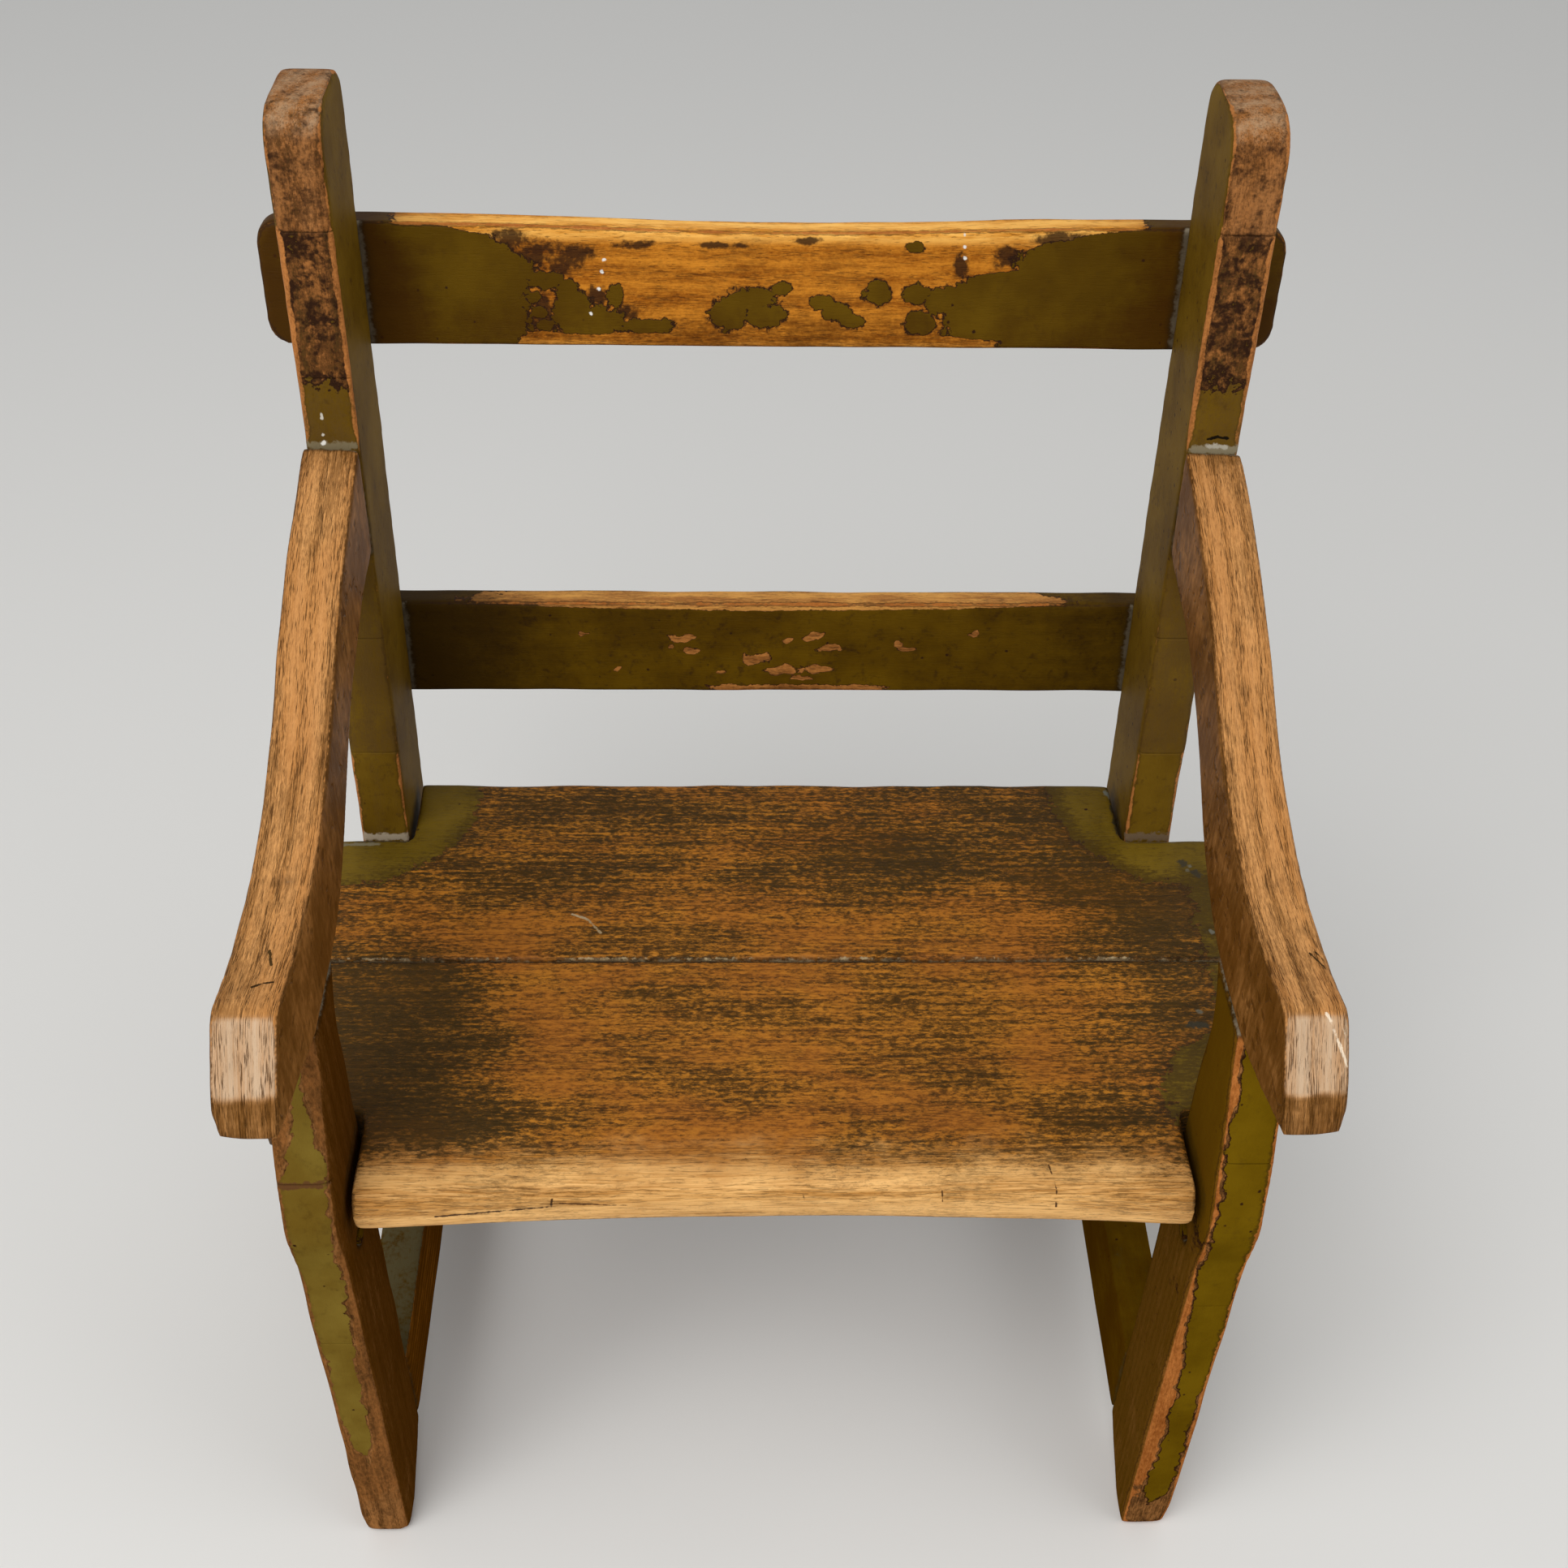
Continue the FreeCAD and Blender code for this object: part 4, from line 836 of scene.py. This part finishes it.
# seat boards: bare, dark at the ends, olive left in the rear corners
seat = {
    "voxel": 0.0013, "soften": 3, "rub": 1.0, "dip": 0.0004, "seed": 13, "dirtReach": 0.0022,
    "cornerCentre": (0.180, 0.104), "cornerReach": (0.053, 0.058), "nosing": (-0.113, -0.084),
    "noseLift": 0.0034, "thinFront": (0.092, 0.114), "thinLow": (0.230, 0.012),
    "stripFade": 0.013, "stripEnd": (0.098, 0.106), "leftFade": (-0.022, 0.030), "leftRear": (0.03, 0.04),
    "rightSoil": (0.085, 0.165), "rearSpot": ((0.045, 0.060), (0.065, 0.032)), "rearSoil": (-0.01, 0.06),
    "endsFrom": (0.130, 0.190),
    "endStrip": ((-0.1050, 0.1690), (-0.0986, 0.1620), (-0.0800, 0.1520), (-0.0648, 0.1490),
                 (-0.0446, 0.1600), (-0.0350, 0.1800)),        # depth, then where the right-hand paint starts
    "leftDark": ((-0.1000, -0.135), (-0.0940, -0.115), (-0.0830, -0.086), (-0.0600, -0.108),
                 (0.0, -0.114), (0.03, -0.150)),
    "dusty": (
        ((0.1825, 0.0558), (0.011, 0.010), 0.52), ((0.1843, 0.0182), (0.008, 0.006), 0.56),
        ((0.1709, -0.0260), (0.011, 0.011), 0.54), ((0.1654, -0.0446), (0.008, 0.008), 0.46),
        ((0.1617, 0.0309), (0.020, 0.014), 0.38), ((0.1490, -0.0059), (0.018, 0.012), 0.38),
        ((0.1600, 0.0900), (0.012, 0.018), 0.52), ((-0.1650, 0.0520), (0.014, 0.006), 0.45),
        ((-0.1750, -0.0100), (0.020, 0.014), 0.36), ((-0.1600, -0.1080), (0.012, 0.010), 0.45)),
    "top": 0.2358,
    "topMarks": (
        (-0.1900, 0.0029, 0.1900, 0.0029, 0.0014, (172, 150, 112)),        # the joint and its dust
        (-0.1900, 0.0016, 0.1900, 0.0013, 0.0009, (46, 30, 10)),
        (-0.1785, 0.0728, -0.1570, 0.0728, 0.0012, (58, 46, 28)),        # beside the posts
        (-0.1885, 0.0700, -0.1700, 0.0708, 0.0013, (112, 102, 78)),
        (0.1575, 0.0727, 0.1785, 0.0727, 0.0012, (104, 90, 68)),
        (0.1558, 0.1120, 0.1556, 0.0790, 0.0032, (52, 47, 32)),
        (0.1532, 0.1045, 0.1540, 0.1020, 0.0020, (106, 108, 98)),        # lumps of dirt: dark ones, and pale grey dots that are painted highlights on them
        (0.1552, 0.0905, 0.1556, 0.0885, 0.0015, (112, 112, 100)),
        (0.1562, 0.0832, 0.1562, 0.0832, 0.0013, (150, 142, 124)),
        (0.1790, 0.0590, 0.1798, 0.0584, 0.0026, (62, 54, 36)),
        (0.1842, 0.0526, 0.1850, 0.0512, 0.0024, (60, 52, 36)),
        (0.1822, 0.0566, 0.1822, 0.0566, 0.0015, (104, 98, 80)),
        (0.1806, 0.0545, 0.1806, 0.0545, 0.0012, (96, 88, 68)),
        (0.1843, 0.0184, 0.1846, 0.0176, 0.0013, (104, 100, 86)),
        (0.1712, -0.0260, 0.1720, -0.0264, 0.0013, (98, 92, 76)),
        (0.1660, -0.0330, 0.1725, -0.0330, 0.0020, (56, 50, 36))),
    "scratches": [
        ((-0.0830, 0.0284, 0.2360), (-0.0761, 0.0251, 0.2360), 0.0008, (172, 150, 116)),
        ((-0.0761, 0.0251, 0.2360), (-0.0706, 0.0176, 0.2360), 0.0007, (160, 136, 100)),
        ((-0.1246, -0.1153, 0.2254), (-0.0825, -0.1135, 0.2284), 0.0007, (72, 44, 16)),
        ((-0.0825, -0.1135, 0.2284), (-0.0820, -0.1124, 0.2319), 0.0006, (72, 44, 16)),
        ((-0.0820, -0.1124, 0.2300), (-0.0400, -0.1130, 0.2268), 0.0005, (92, 58, 24)),
        ((0.1013, -0.1009, 0.2360), (0.1032, -0.1110, 0.2344), 0.0005, (80, 50, 20)),
        ((0.1032, -0.1110, 0.2344), (0.1034, -0.1140, 0.2280), 0.0005, (80, 50, 20)),
        ((0.0100, -0.1111, 0.2318), (0.0111, -0.1135, 0.2257), 0.0005, (80, 50, 20)),
        ((0.0611, -0.1103, 0.2338), (0.0615, -0.1140, 0.2263), 0.0004, (92, 60, 26))],
}


def shapeSeat(made):
    lift = easeRange(-made[:, 1], *seat["thinFront"]) * below(made[:, 2], *seat["thinLow"])
    made[:, 2] += seat["noseLift"] * lift        # the lower edge of the nosing is worn thin
    return made


def fieldsSeat(p, n, marks):
    x, y = p[:, 0], p[:, 1]
    top = easeRange(n[:, 2], 0.3, 0.7)
    corner = spot(np.abs(x), y, seat["cornerCentre"], seat["cornerReach"])
    strip = (x - alongTable(y, seat["endStrip"])) / seat["stripFade"] - 4.0 * easeRange(-y, *seat["stripEnd"])
    field = np.clip(np.maximum(5.0 * corner, strip), -1.5, 0.8) * top - 1.0 * (1.0 - top)
    leftDark = easeRange(alongTable(y, seat["leftDark"]) - x, *seat["leftFade"]) * below(y, *seat["leftRear"])
    rightSoil = easeRange(x, *seat["rightSoil"])
    rearSpot = np.clip(spot(x, y, *seat["rearSpot"]), 0.0, 1.0)
    rear = 0.48 * easeRange(y, *seat["rearSoil"]) * top + 0.35 * rearSpot
    ragged = 0.006 * noiseOf(p, 60.0, seat["seed"]) + 0.004 * noiseOf(p, 260.0, 1.0)
    ahead = easeRange(y + ragged, *seat["nosing"])
    nosing = 1.0 - ahead
    under = easeRange(-n[:, 2], 0.3, 0.7)
    soil = (0.90 * leftDark + 0.66 * rightSoil) * ahead + rear + 0.35 * under + 0.10 * ahead
    soil = np.clip(soil, 0.0, 1.0) * (1.0 - 0.8 * easeRange(corner, 0.0, 0.2))
    ends = easeRange(np.abs(x), *seat["endsFrom"])
    crevice = marks["crevice"]
    for centre, radius, level in seat["dusty"]:
        crevice = np.maximum(crevice, level * np.clip(1.8 * spot(x, y, centre, radius), 0.0, 1.0) * top)
    # the nosing is painted pale: worn wood with a painted highlight on it
    return {"paint": field, "soil": soil, "crevice": crevice,
            "polish": nosing * (1.0 - under) * (1.0 - 0.4 * ends)}


seatMarks = [((fromX, fromY, seat["top"]), (toX, toY, seat["top"]), width, colour)
             for fromX, fromY, toX, toY, width, colour in seat["topMarks"]] + seat["scratches"]
seatLook = dict(
    oldOak, ring=25.0, shift=(0.0, 0.02, -0.16), streaks=0.80, pores=0.30, dash=0.9,
    light=tint(186, 120, 36), dark=tint(94, 58, 14), streakTint=tint(58, 38, 8), pale=tint(244, 190, 118),
    paleDark=tint(178, 122, 56), soilTint=tint(62, 44, 12), soilGrain=0.7, rim=0.5, arris=-0.15,
    paint=tint(112, 88, 20), paintShade=tint(88, 68, 10), ragged=1.6, bump=0.7, shine=0.12,
    warm=0.5, warmTint=tint(150, 84, 30), dustTint=tint(160, 142, 110), marks=seatMarks)
seatFinish = woodFinish("seatOak", seatLook)
seat["shape"] = shapeSeat
for board in ("seat_front_board", "seat_rear_board"):
    wornPiece(board, seat, seatFinish, fieldsSeat)


# stretchers and seat rails: brown inside the frames, dusty on top
lowBar = {"voxel": 0.0015, "soften": 2, "rub": 0.7, "dip": 0.0002, "seed": 17}


def fieldsBar(p, n, marks):
    x = p[:, 0]
    up = easeRange(n[:, 2], 0.4, 0.8)
    inside = easeRange(-n[:, 0] * np.sign(x), 0.5, 0.8)
    rightSide = easeRange(x, 0.0, 0.01)
    return {"paint": 0.6 - 1.2 * inside * (1.0 - rightSide) - 0.3 * up,
            "soil": 0.35 + 0.6 * inside - 0.25 * inside * rightSide,
            "crevice": np.maximum(marks["crevice"], 0.92 * up * (1.0 - 0.45 * rightSide)),
            "edge": 0.6 * marks["edge"]}


barLook = dict(
    oldOak, turn=alongY, shift=(0.0, 0.16, -0.03), soilTint=tint(74, 42, 2), dust=0.7, grime=0.4, arris=0.1,
    shine=0.0, woodRough=0.55, paintRough=0.5, dustTint=tint(88, 82, 58))
barFinish = woodFinish("stretcherPaint", barLook)
for side in ("left", "right"):
    wornPiece("side_stretcher_" + side, lowBar, barFinish, fieldsBar)
    wornPiece("seat_rail_" + side, lowBar, barFinish, fieldsBar)


# floor and light
studio = {
    "floor": tint(226, 224, 220), "floorRough": 0.7, "floorHalf": 6.0, "sky": (0.96, 0.98, 1.0, 1.0), "world": 0.48,
    "aim": (0.0, 0.0, 0.25),
    "lamps": (("keyLight", (-0.7, -1.0, 1.9), 1.5, 30.0), ("fillLight", (1.5, -0.6, 1.3), 1.4, 7.0)),
}


def makeStudio(look):
    bm = bmesh.new()
    bmesh.ops.create_grid(bm, x_segments=2, y_segments=2, size=look["floorHalf"])
    mesh = bpy.data.meshes.new("paleFloor")
    bm.to_mesh(mesh)
    bm.free()
    floor = bpy.data.objects.new("paleFloor", mesh)
    scene.collection.objects.link(floor)
    matte, _, shader = newFinish("paleFloor")
    shader.inputs["Base Color"].default_value = look["floor"]
    shader.inputs["Roughness"].default_value = look["floorRough"]
    mesh.materials.append(matte)
    world = bpy.data.worlds.new("softRoom")
    scene.world = world
    world.use_nodes = True
    back = world.node_tree.nodes["Background"]
    back.inputs["Color"].default_value = look["sky"]
    back.inputs["Strength"].default_value = look["world"]
    for name, place, size, power in look["lamps"]:
        lamp = bpy.data.lights.new(name, "AREA")
        lamp.size = size
        lamp.energy = power
        lit = bpy.data.objects.new(name, lamp)
        lit.location = place
        lit.rotation_mode = "QUATERNION"
        lit.rotation_quaternion = (Vector(look["aim"]) - Vector(place)).to_track_quat("-Z", "Y")
        scene.collection.objects.link(lit)


makeStudio(studio)
print("stage lit")


# screws and pins keep their CAD shape
steelLook = {"bright": tint(112, 106, 98), "rust": tint(74, 46, 28), "rustScale": 420.0, "bumpScale": 900.0}
pinLook = dict(oldOak, shift=(0.1, 0.0, 0.0), light=tint(96, 58, 18), dark=tint(66, 40, 10), shine=0.0)


def screwFinish(look):
    finish, tree, shader = newFinish("oldSteel")
    coords = addNode(tree, "TexCoord").outputs["Object"]
    rust = ease(tree, mottle(tree, coords, look["rustScale"], 4.0, 0.65), 0.42, 0.62)
    tree.links.new(blendTint(tree, rust, look["bright"], look["rust"]), shader.inputs["Base Color"])
    tree.links.new(times(tree, inverse(tree, rust), 0.9), shader.inputs["Metallic"])
    tree.links.new(ease(tree, rust, 0.0, 1.0, 0.38, 0.8), shader.inputs["Roughness"])
    pits = mottle(tree, coords, look["bumpScale"], 4.0)
    bump = addNode(tree, "Bump", {"Height": pits, "Strength": 0.4, "Distance": 0.0003})
    tree.links.new(bump.outputs[0], shader.inputs["Normal"])
    return finish


def dressNodes(names, finish):
    for name in names:
        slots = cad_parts[name].data.materials
        slots.clear()
        slots.append(finish)


dressNodes(("seat_dowels", "seat_rail_pegs"), woodFinish("pinOak", pinLook))
dressNodes(("top_rail_screws", "lower_rail_screws", "seat_screws"), screwFinish(steelLook))
print("finishes set")
